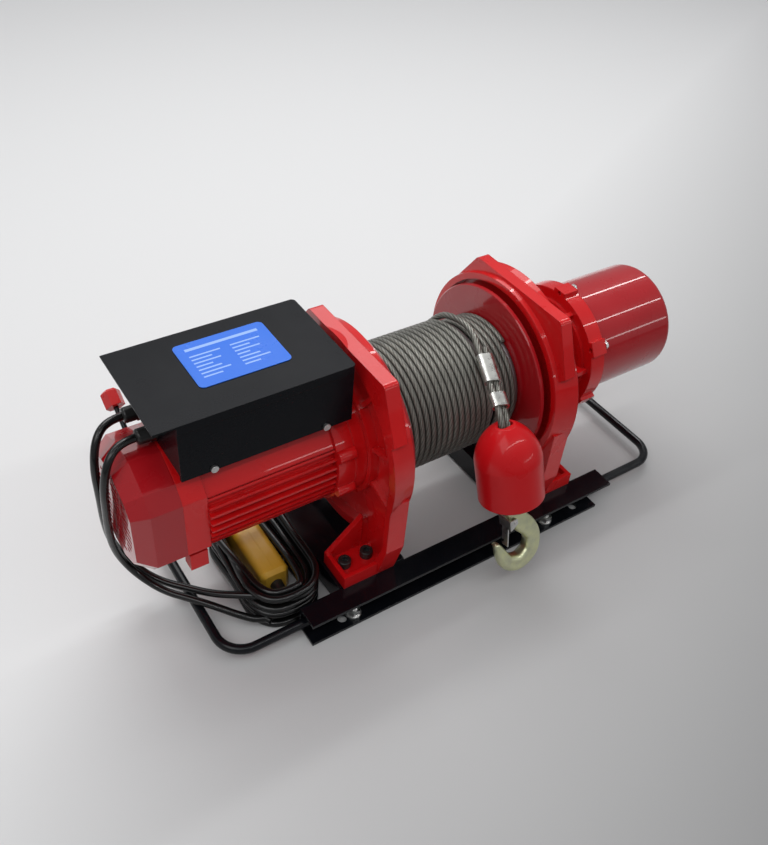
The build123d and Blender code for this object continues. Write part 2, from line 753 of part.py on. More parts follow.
def gland_solid(y):
    """A cable gland through the control box's left wall, with its nut inside."""
    x = box_left_x
    body = disc(x - 6, x + sheet + 7, 5.99, y, gland_z)
    flange = Plane.YZ.offset(x - 6) * Pos(y, gland_z) * RegularPolygon(10.0, 6)
    body += extrude(flange, amount=6)
    dome = disc(x - 20, x - 6, 8.6, y, gland_z)
    dome = fillet(dome.edges().filter_by(GeomType.CIRCLE).sort_by(Axis.X)[0], 3.0)
    body += dome
    nut = Plane.YZ.offset(x + sheet) * Pos(y, gland_z) * RegularPolygon(8.2, 6)
    return body + extrude(nut, amount=4)


def capacitor_solid():
    """The run capacitor, a can that lies on the box's floor under a strap."""
    z = box_floor + sheet + 19
    can = disc(box_right_x - 92, box_right_x - 16, 18.5, 28, z)
    can = fillet(can.edges().filter_by(GeomType.CIRCLE), 2.0)
    strap = block(box_right_x - 60, box_right_x - 46, 6, 50, box_floor + sheet, box_floor + sheet + 3)
    strap += tube(box_right_x - 60, box_right_x - 46, 20.0, 18.4, 28, z) - block(
        box_right_x - 61, box_right_x - 45, 0, 60, box_bottom, box_floor + sheet)
    return can + strap


def contactor_solid():
    """The reversing contactor pair on the box's floor."""
    x = box_left_x + 40
    top = box_top - sheet - box_head_room
    shoulder = top - 12
    body = block(x, x + 46, -48, 4, box_floor + sheet, shoulder)
    body += block(x + 6, x + 40, -40, -4, shoulder, top)
    for step in range(4):
        body -= block(x + 5 + step * 10, x + 11 + step * 10, -49, -42, shoulder - 14, shoulder + 1)
    return body


def terminal_solid():
    """The terminal strip between the glands and the contactor."""
    x = box_left_x + 106
    body = block(x, x + 64, -50, -26, box_floor + sheet, box_floor + sheet + 12)
    for step in range(6):
        body += block(x + 2 + step * 10.5, x + 10 + step * 10.5, -46, -30, box_floor + sheet + 12,
                      box_floor + sheet + 20)
    return body


def rating_plate_solid():
    """The blank plate on top of the control box."""
    outline = RectangleRounded(plate_length, plate_depth, plate_corner)
    centre = Pos(plate_x + plate_length / 2, plate_y + plate_depth / 2, box_top)
    return centre * extrude(outline, amount=plate_thickness)


def coil_solid(z0):
    """A flat hank of cord: an oblong ring of the turns' outer shape."""
    length = coil_back_y - coil_front_y
    middle = Pos(coil_x, (coil_back_y + coil_front_y) / 2, z0)
    outer = RectangleRounded(2 * coil_half_width, length, coil_corner)
    inner = RectangleRounded(2 * (coil_half_width - coil_thickness), length - 2 * coil_thickness,
                             coil_corner - coil_thickness)
    return middle * extrude(outer - inner, amount=coil_height)


def unit(vector):
    """A vector of length one."""
    return vector / vector.length


def path_radii(points, share=0.45):
    """The arc radius at each inner point: 0.45 of its shorter run over the tangent of half the turn."""
    radii = []
    for index in range(1, len(points) - 1):
        before = Vector(points[index]) - Vector(points[index - 1])
        after = Vector(points[index + 1]) - Vector(points[index])
        turn = math.radians(before.get_angle(after))
        radii.append(share * min(before.length, after.length) / math.tan(turn / 2))
    return radii


def cord_solid(name, points, radius, cut=None):
    """A cord's tube along straight runs joined by tangent arcs."""
    radii = path_radii(points)
    path = FilletPolyline(*points, radius=radii)
    start = Plane(origin=path @ 0, z_dir=path % 0)
    body = sweep(start * Circle(radius), path=path)
    ratio = body.volume / (math.pi * radius ** 2 * path.length)
    print(name, "length", round(path.length), "radii", [round(r) for r in radii], "volume ratio", round(ratio, 4))
    return body - cut if cut else body


# The power cord, from the back gland round the motor's tail and over the left bar into the upper hank
power_points = [
    (box_left_x - 20, gland_y[0], gland_z), (-386, gland_y[0], gland_z), (-404, 22, 268), (-413, 12, 240),
    (-414, 12, 202), (-412, 20, 160), (-407, 30, 118), (-397, 37, 80), (-382, 31, 49),
    (-362, 8, 34), (-334, -20, 32), (-314, -44, 36), (-290, -64, 41), (-268, -80, 43)]

# The pendant's cord, from the front gland beside the power cord into the lower hank
pendant_points = [
    (box_left_x - 20, gland_y[1], gland_z), (-386, gland_y[1], gland_z), (-404, -12, 268), (-413, -16, 238),
    (-415, -8, 200), (-413, 4, 158), (-408, 15, 116), (-398, 22, 78), (-383, 14, 49),
    (-363, -10, 35), (-340, -34, 33), (-318, -56, 28), (-297, -76, 20), (-276, -92, 14)]

# The plug lies behind the hanks on a short length of the power cord, from the upper hank
plug_radius = 18.0
plug_start = (-266.0, 96.0, plug_radius)
plug_points = [(-206, 60, 40), (-217, 80, 35), (-240, 96, plug_radius), plug_start]


def pendant_shell(side):
    """One half of the pendant's housing: +1 holds the buttons, -1 is the plain back."""
    z_middle = pendant_height / 2
    y0 = pendant_front_y
    y1 = y0 + pendant_length
    outer = block(pendant_x - pendant_thickness / 2, pendant_x + pendant_thickness / 2, y0, y1, 0, pendant_height)
    outer = fillet(outer.edges().filter_by(Axis.Y), 9.0)
    outer = chamfer(outer.faces().sort_by(Axis.Y)[0].edges(), 5.0)
    outer = fillet(outer.faces().sort_by(Axis.Y)[-1].edges(), 5.0)
    inner = block(pendant_x - pendant_thickness / 2 + pendant_wall, pendant_x + pendant_thickness / 2 - pendant_wall,
                  y0 + 8, y1 - pendant_wall - 3, 4, pendant_height - 4)
    inner = fillet(inner.edges().filter_by(Axis.Y), 5.0)
    body = outer - inner
    body -= Pos(pendant_x, y0 + 2, z_middle) * Rot(90, 0, 0) * Cylinder(cord_radius + 1.5, 14)
    if side > 0:
        for y in button_y:
            body -= disc(pendant_x, pendant_x + pendant_thickness, button_radius + 0.4, y, z_middle)
        keep = block(pendant_x, pendant_x + 60, y0 - 5, y1 + 5, -5, pendant_height + 5)
    else:
        keep = block(pendant_x - 60, pendant_x, y0 - 5, y1 + 5, -5, pendant_height + 5)
    return body & keep


button_y = (pendant_front_y + 28.0, pendant_front_y + 52.0, pendant_front_y + 82.0)


def button_solid(y, head_radius, proud):
    """A push button that slides in the pendant's front, with a collar inside that keeps it in."""
    face = pendant_x + pendant_thickness / 2
    z = pendant_height / 2
    inside = face - pendant_wall
    body = disc(inside - 2.5, face + proud, button_radius, y, z)
    body += disc(inside - 3.5, inside - 0.5, button_radius + 2.0, y, z)
    if head_radius > button_radius:
        head = disc(face + button_travel + 1.0, face + proud + 2, head_radius, y, z)
        body += fillet(head.edges().filter_by(GeomType.CIRCLE), 0.8)
    return body


def pendant_gland_solid():
    """The soft boot where the cord enters the pendant."""
    y0 = pendant_front_y
    z = pendant_height / 2
    length = y0 - coil_front_y - coil_thickness
    boot = Pos(pendant_x, y0 - length / 2, z) * Rot(90, 0, 0) * Cone(8.0, 5.6, length)
    boot += Pos(pendant_x, y0 + 4.5, z) * Rot(90, 0, 0) * Cylinder(cord_radius + 1.4, 9)
    boot += Pos(pendant_x, y0 + 10.5, z) * Rot(90, 0, 0) * Cylinder(8.5, 4)
    return boot


# The hanging weight and hook: a frame at the weight's top, whose z axis points up along the rope
hang_top = Vector(19.0, -132.0, 233.0)
hang_axis = unit(Vector(-0.0876, 0.2532, 0.9640))
hang_x = unit(Vector(1, 0, 0) - hang_axis * hang_axis.X)
hang = Plane(origin=hang_top, x_dir=hang_x, z_dir=hang_axis)
nut_pocket_depth = 17.0
retainer_thickness = 5.0


def hung(part):
    """Moves a part from the hook's own upright frame to where it hangs."""
    return hang.location * part


def weight_solid():
    """The iron weight: a round-shouldered cylinder with bores for the rope and the hook."""
    shoulder = ThreePointArc((weight_neck, 0), (weight_neck + 18.5, -18), (weight_radius, -weight_cone))
    sides = Polyline((weight_radius, -weight_cone), (weight_radius, -weight_length + 3),
                     (weight_radius - 3, -weight_length), (0, -weight_length), (0, 0), (weight_neck, 0))
    body = revolve(Plane.XZ * make_face([*shoulder.edges(), *sides.edges()]), axis=Axis.Z)
    slot_depth = rope_depth + 2
    rope_slot = SlotOverall(2 * strand_offset + 2 * rope_radius + 2.4, 2 * rope_radius + 2.4)
    body -= extrude(Plane.XY.offset(-slot_depth) * rope_slot, amount=slot_depth + 2)
    body -= Pos(0, 0, -weight_length + nut_pocket_depth / 2) * Cylinder(15.0, nut_pocket_depth + 0.01)
    for side in (-1, 1):
        body -= Pos(side * 22, 0, -weight_length + 6) * Cylinder(2.0, 14)
    return hung(body)


def retainer_solid():
    """The round plate under the weight that carries the hook's nut, with its two screws."""
    top = -weight_length
    body = Pos(0, 0, top - retainer_thickness / 2) * Cylinder(29.0, retainer_thickness)
    body = chamfer(body.faces().sort_by(Axis.Z)[0].edges(), 1.0)
    body -= Pos(0, 0, top) * Cylinder(7.0 + bearing_gap, 20)
    for side in (-1, 1):
        body += Pos(side * 22, 0, top + 3) * Cylinder(1.95, 10)
        body += Pos(side * 22, 0, top - retainer_thickness - 1.5) * Cylinder(4.0, 3)
    return hung(body)


shank_radius = 7.0
hook_eye_z = -weight_length - retainer_thickness
throat_radius = 15.0
throat_z = hook_eye_z - 71.0
bowl_radius = 34.0


def swivel_nut_solid():
    """The nut inside the weight that the hook hangs and turns on."""
    z0 = -weight_length + 0.2
    body = extrude(Plane.XY.offset(z0) * RegularPolygon(12.0, 6), amount=11)
    body -= Pos(0, 0, z0) * Cylinder(shank_radius, 40)
    return hung(body)


def hook_solid():
    """The forged hook: shank, collar, bowl and tip, cut from one plate and rounded."""
    bowl = Pos(2, throat_z - 4) * Circle(bowl_radius)
    throat = Pos(0, throat_z) * Circle(throat_radius)
    top = hook_eye_z - 10
    neck = Polygon((-11, top), (11, top), (14, top - 17), (29, throat_z + 20), (35.5, throat_z + 3),
                   (20, throat_z + 3), (10, throat_z + 11.5), (-6, top - 25), (-11, top - 6), align=None)
    mouth = Polygon((-60, throat_z + 16), (-23, throat_z + 16), (-15, throat_z + 4), (0, throat_z + 4),
                    (10, throat_z + 11.5), (-6, top - 25), (-11, top - 4), (-60, top - 4), align=None)
    outline = bowl - throat - mouth + neck
    body = extrude(Plane.XZ * outline, amount=hook_thickness / 2, both=True)
    shank_top = -weight_length + 13.5
    shank_end = top - 4
    body += Pos(0, 0, (shank_top + shank_end) / 2) * Cylinder(shank_radius, shank_top - shank_end)
    body += Pos(0, 0, hook_eye_z - 6.2) * Cylinder(11.0, 11.0)
    return body


latch_pivot = (-5.5, hook_eye_z - 28.0)
latch_tip_z = throat_z + 8.0
latch_width = 11.0
latch_sheet = 1.6


def hook_with_pin():
    """The hook with the bore for its latch's pin."""
    bore = Pos(latch_pivot[0], 0, latch_pivot[1]) * Rot(90, 0, 0) * Cylinder(2.06, 40)
    return hung(hook_solid() - bore)


def latch_solid():
    """The sprung latch: a folded strip with two ears and a pin through the hook's neck."""
    x, z = latch_pivot
    ear_y = hook_thickness / 2 + 0.4
    body = Pos(x, 0, z) * Rot(90, 0, 0) * Cylinder(2.0, 2 * ear_y + 5)
    ear_outline = Plane.XZ * Polygon((x + 4, z + 4), (x + 4, z - 3), (-11.8, z - 9), (-13.4, z - 9),
                                     (-13.4, z + 5), (x, z + 5), align=None)
    for y in (ear_y + latch_sheet / 2, -ear_y - latch_sheet / 2):
        body += Pos(0, y, 0) * extrude(ear_outline, amount=latch_sheet / 2, both=True)
    fold = Plane.XZ * Polygon((-11.8, z + 5), (-11.8, z - 9), (-13.4, z - 9), (-13.4, z + 5), align=None)
    body += extrude(fold, amount=ear_y + latch_sheet, both=True)
    strip = Plane.XZ * Polygon((-11.8, z - 8), (-15.4, latch_tip_z), (-17.0, latch_tip_z), (-13.4, z - 8),
                               align=None)
    body += extrude(strip, amount=latch_width / 2, both=True)
    return hung(body)


def rope_route():
    """The rope's tail: round the winding's top, off it along its tangent, and down into the weight."""
    radius = winding_radius + rope_radius + tail_gap
    entry = hang_top + hang_axis * rope_entry - hang_x * strand_offset
    away = math.hypot(entry.Y, entry.Z - axis_height)
    rise = math.degrees(math.atan2(entry.Z - axis_height, -entry.Y))
    leave = rise + math.degrees(math.acos(radius / away))
    corner = radius / math.cos(math.radians(tail_step / 2))
    points = []
    for index, x in enumerate(tail_x):
        angle = math.radians(leave + (len(tail_x) - 0.5 - index) * tail_step)
        points.append(Vector(x, -corner * math.cos(angle), axis_height + corner * math.sin(angle)))
    return points + [entry, entry - hang_axis * (rope_entry + rope_depth)]


def return_route(points):
    """The rope's returned end, beside its tail from above the first ferrule into the weight."""
    along = unit(points[-2] - points[-3])
    across = hang_x * 2 * strand_offset
    start = points[-2] - along * (ferrule_starts[0] + ferrule_lengths[0] + 2 * rope_radius)
    return [start + across, points[-2] + across, points[-1] + across]


def ferrule_solid(points, start, length):
    """A pressed sleeve round both strands, at a distance from the point where they turn down."""
    along = unit(points[-3] - points[-2])
    across = hang_x * 2 * strand_offset
    across = across - along * along.dot(across)
    plane = Plane(origin=points[-2] + along * start, x_dir=unit(across), z_dir=along)
    spacing = across.length
    outline = Pos(spacing / 2, 0) * SlotOverall(spacing + 2 * rope_radius + 2 * ferrule_wall,
                                                2 * rope_radius + 2 * ferrule_wall)
    body = plane * extrude(outline, amount=length)
    for offset in (0.0, spacing):
        body -= plane * (Pos(offset, 0, length / 2) * Cylinder(rope_radius + bearing_gap, length + 2))
    return body


def plug_solid():
    """The power cord's moulded plug with two round pins, lying behind the hank."""
    x, y, z = plug_start
    body = Pos(x - 13, y, z) * Rot(0, -90, 0) * Cone(8.0, plug_radius, 26)
    body += disc(x - 32, x - 26, plug_radius, y, z)
    for side in (-1, 1):
        body += disc(x - 49, x - 32, 2.4, y + side * 9.5, z)
    return body


def write(name, shape):
    """Writes one node's STEP file."""
    export_step(shape, f"parts/{name}.step")


def group(parts):
    """Several equal pieces that share one node."""
    return Compound(children=[piece for part in parts for piece in part.solids()])


def build_base():
    """The two rails, cross members, bars, studs and foot screws."""
    rail = front_rail_solid()
    write("front_rail", rail)
    write("rear_rail", Rot(0, 0, 180) * rail)
    write("cross_members", group(cross_member_solid(x) for x in cross_member_x))
    write("handle_bars", group([handle_bar(-rail_half_length, left_bar_reach),
                                handle_bar(rail_half_length, right_bar_reach)]))
    hole_y = rail_outer_y - (rail_depth - rail_wall) / 2
    studs = []
    for x in (first_stud_x, second_stud_x):
        studs.append(rail_stud(x, -hole_y))
        studs.append(rail_stud(-x, hole_y))
    write("rail_studs", group(studs))
    write("foot_screws", group(foot_screw(x, y) for x, y in foot_screw_places()))


def build_drum():
    """The brackets, the drum, its rope and bearings."""
    write("left_bracket", Pos(left_bracket_x, 0, 0) * mirrored(bracket_casting(13.0, 31.0)))
    write("right_bracket", Pos(right_bracket_x, 0, 0) * bracket_casting(6.0, 22.0))
    write("drum_tube", drum_tube_solid())
    write("drum_flanges", group([flange_solid(drum_left_x - flange_thickness), flange_solid(drum_right_x)]))
    write("rope_winding", winding_solid())
    write("output_shaft", output_shaft_solid())


def build_gearbox():
    """The planetary gearbox: two stages in one ring gear, with the housing and the cap."""
    write("gear_housing", gear_housing_solid())
    write("ring_gear", ring_gear_solid())
    write("gear_cap", cap_solid())
    write("collar_screws", group(collar_screw(30 + index * 60, cap_x) for index in range(6)))
    write("first_carrier", first_carrier_solid())
    for stage, x0 in (("first", first_stage_x), ("second", second_stage_x)):
        for index in range(planet_count):
            place_angle = 90 + index * 360 / planet_count
            y, z = polar(centre_distance, place_angle)
            planet = gear_solid(planet_teeth, x0, gear_pin_radius + running_gap, place_angle, y, z)
            write(f"{stage}_planet_{index + 1}", planet)


def build_motor():
    """The motor with its brake, fan and tail cowl."""
    write("motor_frame", motor_frame_solid())
    write("front_shield", front_shield_solid())
    write("rear_shield", rear_shield_solid())
    write("tail_cowl", cowl_solid())
    write("stator", group([stator_solid(), windings_solid()]))
    write("rotor", rotor_solid())
    write("motor_shaft", motor_shaft_solid())
    write("drive_shaft", drive_shaft_solid())
    write("shaft_coupling", coupling_solid())
    write("cooling_fan", fan_solid())
    write("brake_coil", brake_coil_solid())
    write("brake_disc", tube(rear_shield_x - 22, rear_shield_x - 17, 45, shaft_radius))
    write("release_lever", lever_solid())
    write("lever_knob", lever_knob_solid())
    bearings = [bearing_solid(motor_seat_x - 18, 20, shaft_radius + 0.05, 12),
                bearing_solid(rear_shield_x + 6, 20, shaft_radius + 0.05, 12),
                bearing_solid(left_bearing_x, bearing_outer_radius, hub_radius + 0.05, bearing_width),
                bearing_solid(right_bearing_x, bearing_outer_radius, hub_radius + 0.05, bearing_width),
                bearing_solid(housing_bearing_x, bearing_outer_radius, hub_radius + 0.05, bearing_width)]
    write("bearings", group(bearings))


def build_box():
    """The control box with its inner pieces."""
    write("box_cover", box_cover_solid())
    write("box_base", box_base_solid())
    write("cover_screws", group(cover_screw(x, side) for x in cover_screw_x for side in (-1, 1)))
    write("cable_glands", group([gland_solid(y) for y in gland_y] + [pendant_gland_solid()]))
    write("box_electrics", group([capacitor_solid(), contactor_solid(), terminal_solid()]))
    write("rating_plate", rating_plate_solid())


def build_cords():
    """The cords, hanks, plug and pendant."""
    lower = coil_solid(0)
    upper = coil_solid(coil_height)
    write("power_hank", upper)
    write("pendant_hank", lower)
    write("power_cord", cord_solid("power cord", power_points, cord_radius, upper))
    write("pendant_cord", cord_solid("pendant cord", pendant_points, cord_radius, lower))
    write("pendant_front", pendant_shell(1))
    write("pendant_back", pendant_shell(-1))
    write("up_button", button_solid(button_y[0], 0, 5.0))
    write("down_button", button_solid(button_y[1], 0, 5.0))
    write("stop_button", button_solid(button_y[2], 10.5, 6.0))
    write("mains_plug", plug_solid())
    write("plug_cord", cord_solid("plug cord", plug_points, cord_radius, upper))


def build_hook():
    """The rope's tail, its ferrules, the weight and the hook."""
    points = rope_route()
    write("rope_tail", group([cord_solid("rope tail", points, rope_radius),
                              cord_solid("returned end", return_route(points), rope_radius)]))
    write("rope_ferrules", group(ferrule_solid(points, start, length)
                                 for start, length in zip(ferrule_starts, ferrule_lengths)))
    write("weight", group([weight_solid(), retainer_solid()]))
    write("hook", group([swivel_nut_solid(), hook_with_pin()]))
    write("hook_latch", latch_solid())


build_base()
build_drum()
build_gearbox()
build_motor()
build_box()
build_cords()
build_hook()
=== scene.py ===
# %% [markdown]
# An electric drum winch, dressed for a studio picture. The rigid pieces come ready-made in the
# frame, to the right size and in the right place. What is left for this script is everything a
# solid model leaves plain: laid wire rope, soft cords with their coiled turns, paint, zinc, rubber
# and light. Each step says what the real thing is, how it could be made, and why it is made so here.

# %% Load the frame
import math
import bmesh
import bpy
import numpy as np
from mathutils import Matrix, Vector


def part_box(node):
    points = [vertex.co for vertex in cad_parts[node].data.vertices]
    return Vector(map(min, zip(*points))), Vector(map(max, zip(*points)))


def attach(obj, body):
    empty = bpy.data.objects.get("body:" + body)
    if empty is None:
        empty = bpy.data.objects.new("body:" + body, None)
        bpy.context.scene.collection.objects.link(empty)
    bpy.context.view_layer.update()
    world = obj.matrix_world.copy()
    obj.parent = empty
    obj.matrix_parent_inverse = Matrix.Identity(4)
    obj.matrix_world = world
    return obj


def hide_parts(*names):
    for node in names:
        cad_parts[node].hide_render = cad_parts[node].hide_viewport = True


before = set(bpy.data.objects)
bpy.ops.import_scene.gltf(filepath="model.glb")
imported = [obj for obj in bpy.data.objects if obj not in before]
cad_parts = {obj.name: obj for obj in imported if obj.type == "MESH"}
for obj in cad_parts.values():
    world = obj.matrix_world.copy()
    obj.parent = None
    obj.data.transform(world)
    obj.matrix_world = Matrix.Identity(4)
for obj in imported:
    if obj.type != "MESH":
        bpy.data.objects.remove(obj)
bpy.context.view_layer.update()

# %% [markdown]
# Camera. The picture looks down on the winch from the front left, about 37 degrees round and 42
# degrees up, with a slight roll. A camera can be aimed with a tracking constraint, but then the
# roll is lost, so here its right, up and back directions are written as the columns of its matrix.

# %% Camera
camera_place = Vector((-0.5565, -0.6714, 0.9176))
camera_right = Vector((0.836, -0.544, 0.071)).normalized()
camera_up = Vector((0.322, 0.591, 0.740)).normalized()
camera_back = camera_right.cross(camera_up).normalized()
camera_up = camera_back.cross(camera_right)

camera_data = bpy.data.cameras.new("camera")
camera_data.sensor_fit = "HORIZONTAL"
camera_data.sensor_width = 36.0
camera_data.lens = 42.34
camera = bpy.data.objects.new("camera", camera_data)
bpy.context.scene.collection.objects.link(camera)
turn = Matrix((camera_right, camera_up, camera_back)).transposed()
camera.matrix_world = Matrix.Translation(camera_place) @ turn.to_4x4()
bpy.context.scene.camera = camera
print("the camera looks down by", round(math.degrees(math.asin(camera_back.z)), 1), "degrees")

# %% [markdown]
# Surfaces. Most of the new pieces are grids: rows of points that wrap round, such as the rings of
# a tube. Numpy works out all the points at once, and two index arrays say which four points make
# each face. Writing whole arrays into the mesh is far quicker than adding faces one by one.

# %% Grid to mesh
def make_object(name, mesh):
    """Links a finished mesh into the scene as an object at the origin."""
    made = bpy.data.objects.new(name, mesh)
    bpy.context.scene.collection.objects.link(made)
    return made


def fill_mesh(name, points, loops, sizes, uv):
    """A smooth mesh from flat arrays: the points, the point at each corner, how many corners
    each face has, and the place of each corner in the UV map."""
    mesh = bpy.data.meshes.new(name)
    mesh.vertices.add(len(points))
    mesh.vertices.foreach_set("co", points.reshape(-1).astype(np.float32))
    mesh.loops.add(len(loops))
    mesh.loops.foreach_set("vertex_index", loops.astype(np.int32))
    mesh.polygons.add(len(sizes))
    starts = np.concatenate([[0], np.cumsum(sizes)[:-1]])
    mesh.polygons.foreach_set("loop_start", starts.astype(np.int32))
    mesh.update(calc_edges=True)
    layer = mesh.uv_layers.new(name="UVMap")
    layer.data.foreach_set("uv", uv.reshape(-1).astype(np.float32))
    mesh.polygons.foreach_set("use_smooth", np.ones(len(sizes), dtype=bool))
    mesh.validate()
    print(name, "has", len(sizes), "faces")
    return mesh


def mesh_from_rings(name, rings, along):
    """A closed tube from an array of rings, with a UV map in which u is the length in metres
    along the tube and v is the share of the way round it.

    Ring i and place j give the faces (i, j), (i, j+1), (i+1, j+1), (i+1, j), where j+1 wraps
    round. Each end is closed by a fan of triangles to the ring's middle.
    """
    count, around = rings.shape[:2]
    i, j = np.meshgrid(np.arange(count - 1), np.arange(around), indexing="ij")
    k = (j + 1) % around
    quads = np.stack([i * around + j, i * around + k, (i + 1) * around + k, (i + 1) * around + j], -1)
    u = np.stack([along[i], along[i], along[i + 1], along[i + 1]], -1)
    v = np.stack([j, j + 1, j + 1, j], -1) / around
    uv = np.stack([u, v], -1).reshape(-1, 2)
    points = np.vstack([rings.reshape(-1, 3), rings[[0, -1]].mean(axis=1)])
    first_middle = count * around
    last = (count - 1) * around
    step = np.arange(around)
    following = (step + 1) % around
    first_cap = np.stack([np.full(around, first_middle), following, step], -1)
    last_cap = np.stack([np.full(around, first_middle + 1), last + step, last + following], -1)
    loops = np.concatenate([quads.reshape(-1), first_cap.reshape(-1), last_cap.reshape(-1)])
    sizes = np.concatenate([np.full(i.size, 4), np.full(2 * around, 3)])
    cap_uv = np.zeros((6 * around, 2))
    cap_uv[3 * around:, 0] = along[-1]
    return fill_mesh(name, points, loops, sizes, np.vstack([uv, cap_uv]))


# %% [markdown]
# A tube needs, at each point of its line, two directions across it. For a line that keeps clear of
# one fixed direction, the cheapest pair is that direction made square to the line, and the cross
# product of the two. It never twists by itself, so a pattern laid round the tube stays steady. A
# trial on a short straight line shows how the array of rings is laid out.

# %% Tube along a line
def unit_rows(rows):
    """Each row divided by its own length."""
    return rows / np.linalg.norm(rows, axis=-1, keepdims=True)


def lengths_along(line):
    """The length of line from its start to each of its points."""
    steps = np.linalg.norm(np.diff(line, axis=0), axis=1)
    return np.concatenate([[0.0], np.cumsum(steps)])


def tube_rings(line, radius, around, across):
    """Rings of a round tube: line + radius (cos a * n + sin a * b), where n is the direction
    across made square to the line's tangent t, and b is t x n."""
    tangent = unit_rows(np.gradient(line, axis=0))
    normal = across - (across * tangent).sum(-1, keepdims=True) * tangent
    normal = unit_rows(normal)
    side = np.cross(tangent, normal)
    angle = np.linspace(0, 2 * np.pi, around, endpoint=False)[None, :, None]
    return line[:, None] + radius * (np.cos(angle) * normal[:, None] + np.sin(angle) * side[:, None])


trial_line = np.array([(0.0, 0.0, 0.0), (0.1, 0.0, 0.0), (0.2, 0.0, 0.0)])
trial_rings = tube_rings(trial_line, 0.005, 8, np.array([(0.0, 0.0, 1.0)]))
print("three rings of eight points make an array of", trial_rings.shape)

# %% [markdown]
# Cords. A rubber-covered lead is stiff enough to hold one smooth curve, so each lead is a single
# NURBS spline whose few control points are listed along its route. The spline cuts inside
# its control points, as a real lead cuts its corners. Its roundness is the curve's own bevel.

# %% Cord splines
def spline_curve(name, control, radius, resolution=8):
    """A NURBS curve of order 3 through the region of its control points, ending on the last. Its
    thickness is the bevel depth, one metre, times the radius that each point carries."""
    data = bpy.data.curves.new(name, "CURVE")
    data.dimensions = "3D"
    data.resolution_u = resolution
    data.render_resolution_u = resolution
    spline = data.splines.new("NURBS")
    spline.points.add(len(control) - 1)
    weighted = np.hstack([control, np.ones((len(control), 1))])
    spline.points.foreach_set("co", weighted.reshape(-1))
    spline.points.foreach_set("radius", np.full(len(control), radius))
    spline.order_u = 3
    spline.use_endpoint_u = True
    data.bevel_depth = 1.0 if radius else 0.0
    data.bevel_resolution = 5
    data.use_fill_caps = True
    made = bpy.data.objects.new(name, data)
    bpy.context.scene.collection.objects.link(made)
    return made


def spline_line(control, resolution=12):
    """The points of the same spline, read from a curve that has no bevel."""
    curve = spline_curve("line", np.array(control), 0.0, resolution)
    mesh = bpy.data.meshes.new_from_object(curve)
    line = np.empty(3 * len(mesh.vertices))
    mesh.vertices.foreach_get("co", line)
    bpy.data.objects.remove(curve)
    bpy.data.meshes.remove(mesh)
    return line.reshape(-1, 3)


cord_radius = 0.0045
gland_x = -0.366
power_exit = (gland_x, 0.036, 0.2785)
pendant_exit = (gland_x, -0.001, 0.2785)
power_route = np.array([
    power_exit, (-0.383, 0.036, 0.2785), (-0.400, 0.024, 0.270), (-0.409, 0.014, 0.242),
    (-0.409, 0.013, 0.202), (-0.408, 0.020, 0.160), (-0.404, 0.030, 0.118), (-0.395, 0.037, 0.080),
    (-0.381, 0.031, 0.049), (-0.362, 0.008, 0.034), (-0.334, -0.020, 0.032), (-0.314, -0.044, 0.036),
    (-0.290, -0.064, 0.041), (-0.268, -0.080, 0.043)])
pendant_route = np.array([
    pendant_exit, (-0.383, -0.001, 0.2785), (-0.401, -0.012, 0.270), (-0.410, -0.016, 0.240),
    (-0.410, -0.008, 0.200), (-0.409, 0.004, 0.158), (-0.405, 0.015, 0.116), (-0.396, 0.022, 0.078),
    (-0.382, 0.014, 0.049), (-0.363, -0.010, 0.035), (-0.340, -0.034, 0.033), (-0.318, -0.056, 0.028),
    (-0.297, -0.076, 0.020), (-0.276, -0.092, 0.014)])
print("points on the leads' routes:", len(power_route), "and", len(pendant_route))

# %% [markdown]
# The hanks. The rest of each lead is wound into a flat oblong hank that lies under the motor. Its
# turns belong to the same spline, so they are more control points: the place along the hank's
# rounded outline grows steadily, while the row and column in the bundle change a little each turn.

# %% Turns of a hank
hank_middle = np.array([-0.237, -0.017])
hank_half = np.array([0.049, 0.092])
hank_corner = 0.039
hank_rows = 0.0093
hank_columns = 0.0100
hank_first_row = 0.0048
hank_first_column = 0.0052
points_per_corner = 12
points_per_turn = 16
shift_share = 0.3
wander_size = 0.00035


def hank_outline(share, inset):
    """A point of a rounded oblong at a share of the way round, drawn in by inset.

    The outline is four quarter circles joined by straight runs. Its corners are listed finely,
    the length along it is summed, and the place at each share is read off by interpolation.
    """
    corner = hank_corner - inset
    reach = hank_half - hank_corner
    quarter = np.linspace(0, np.pi / 2, points_per_corner)
    turns = np.concatenate([quarter - np.pi / 2, quarter, quarter + np.pi / 2, quarter + np.pi])
    signs = np.repeat(np.array([[1, -1], [1, 1], [-1, 1], [-1, -1]]), points_per_corner, axis=0)
    outline = signs * reach + corner * np.stack([np.cos(turns), np.sin(turns)], -1)
    outline = np.vstack([outline, outline[:1]])
    along = lengths_along(outline)
    where = (share % 1.0) * along[-1]
    return hank_middle + np.stack([np.interp(where, along, outline[:, 0]),
                                   np.interp(where, along, outline[:, 1])], -1)


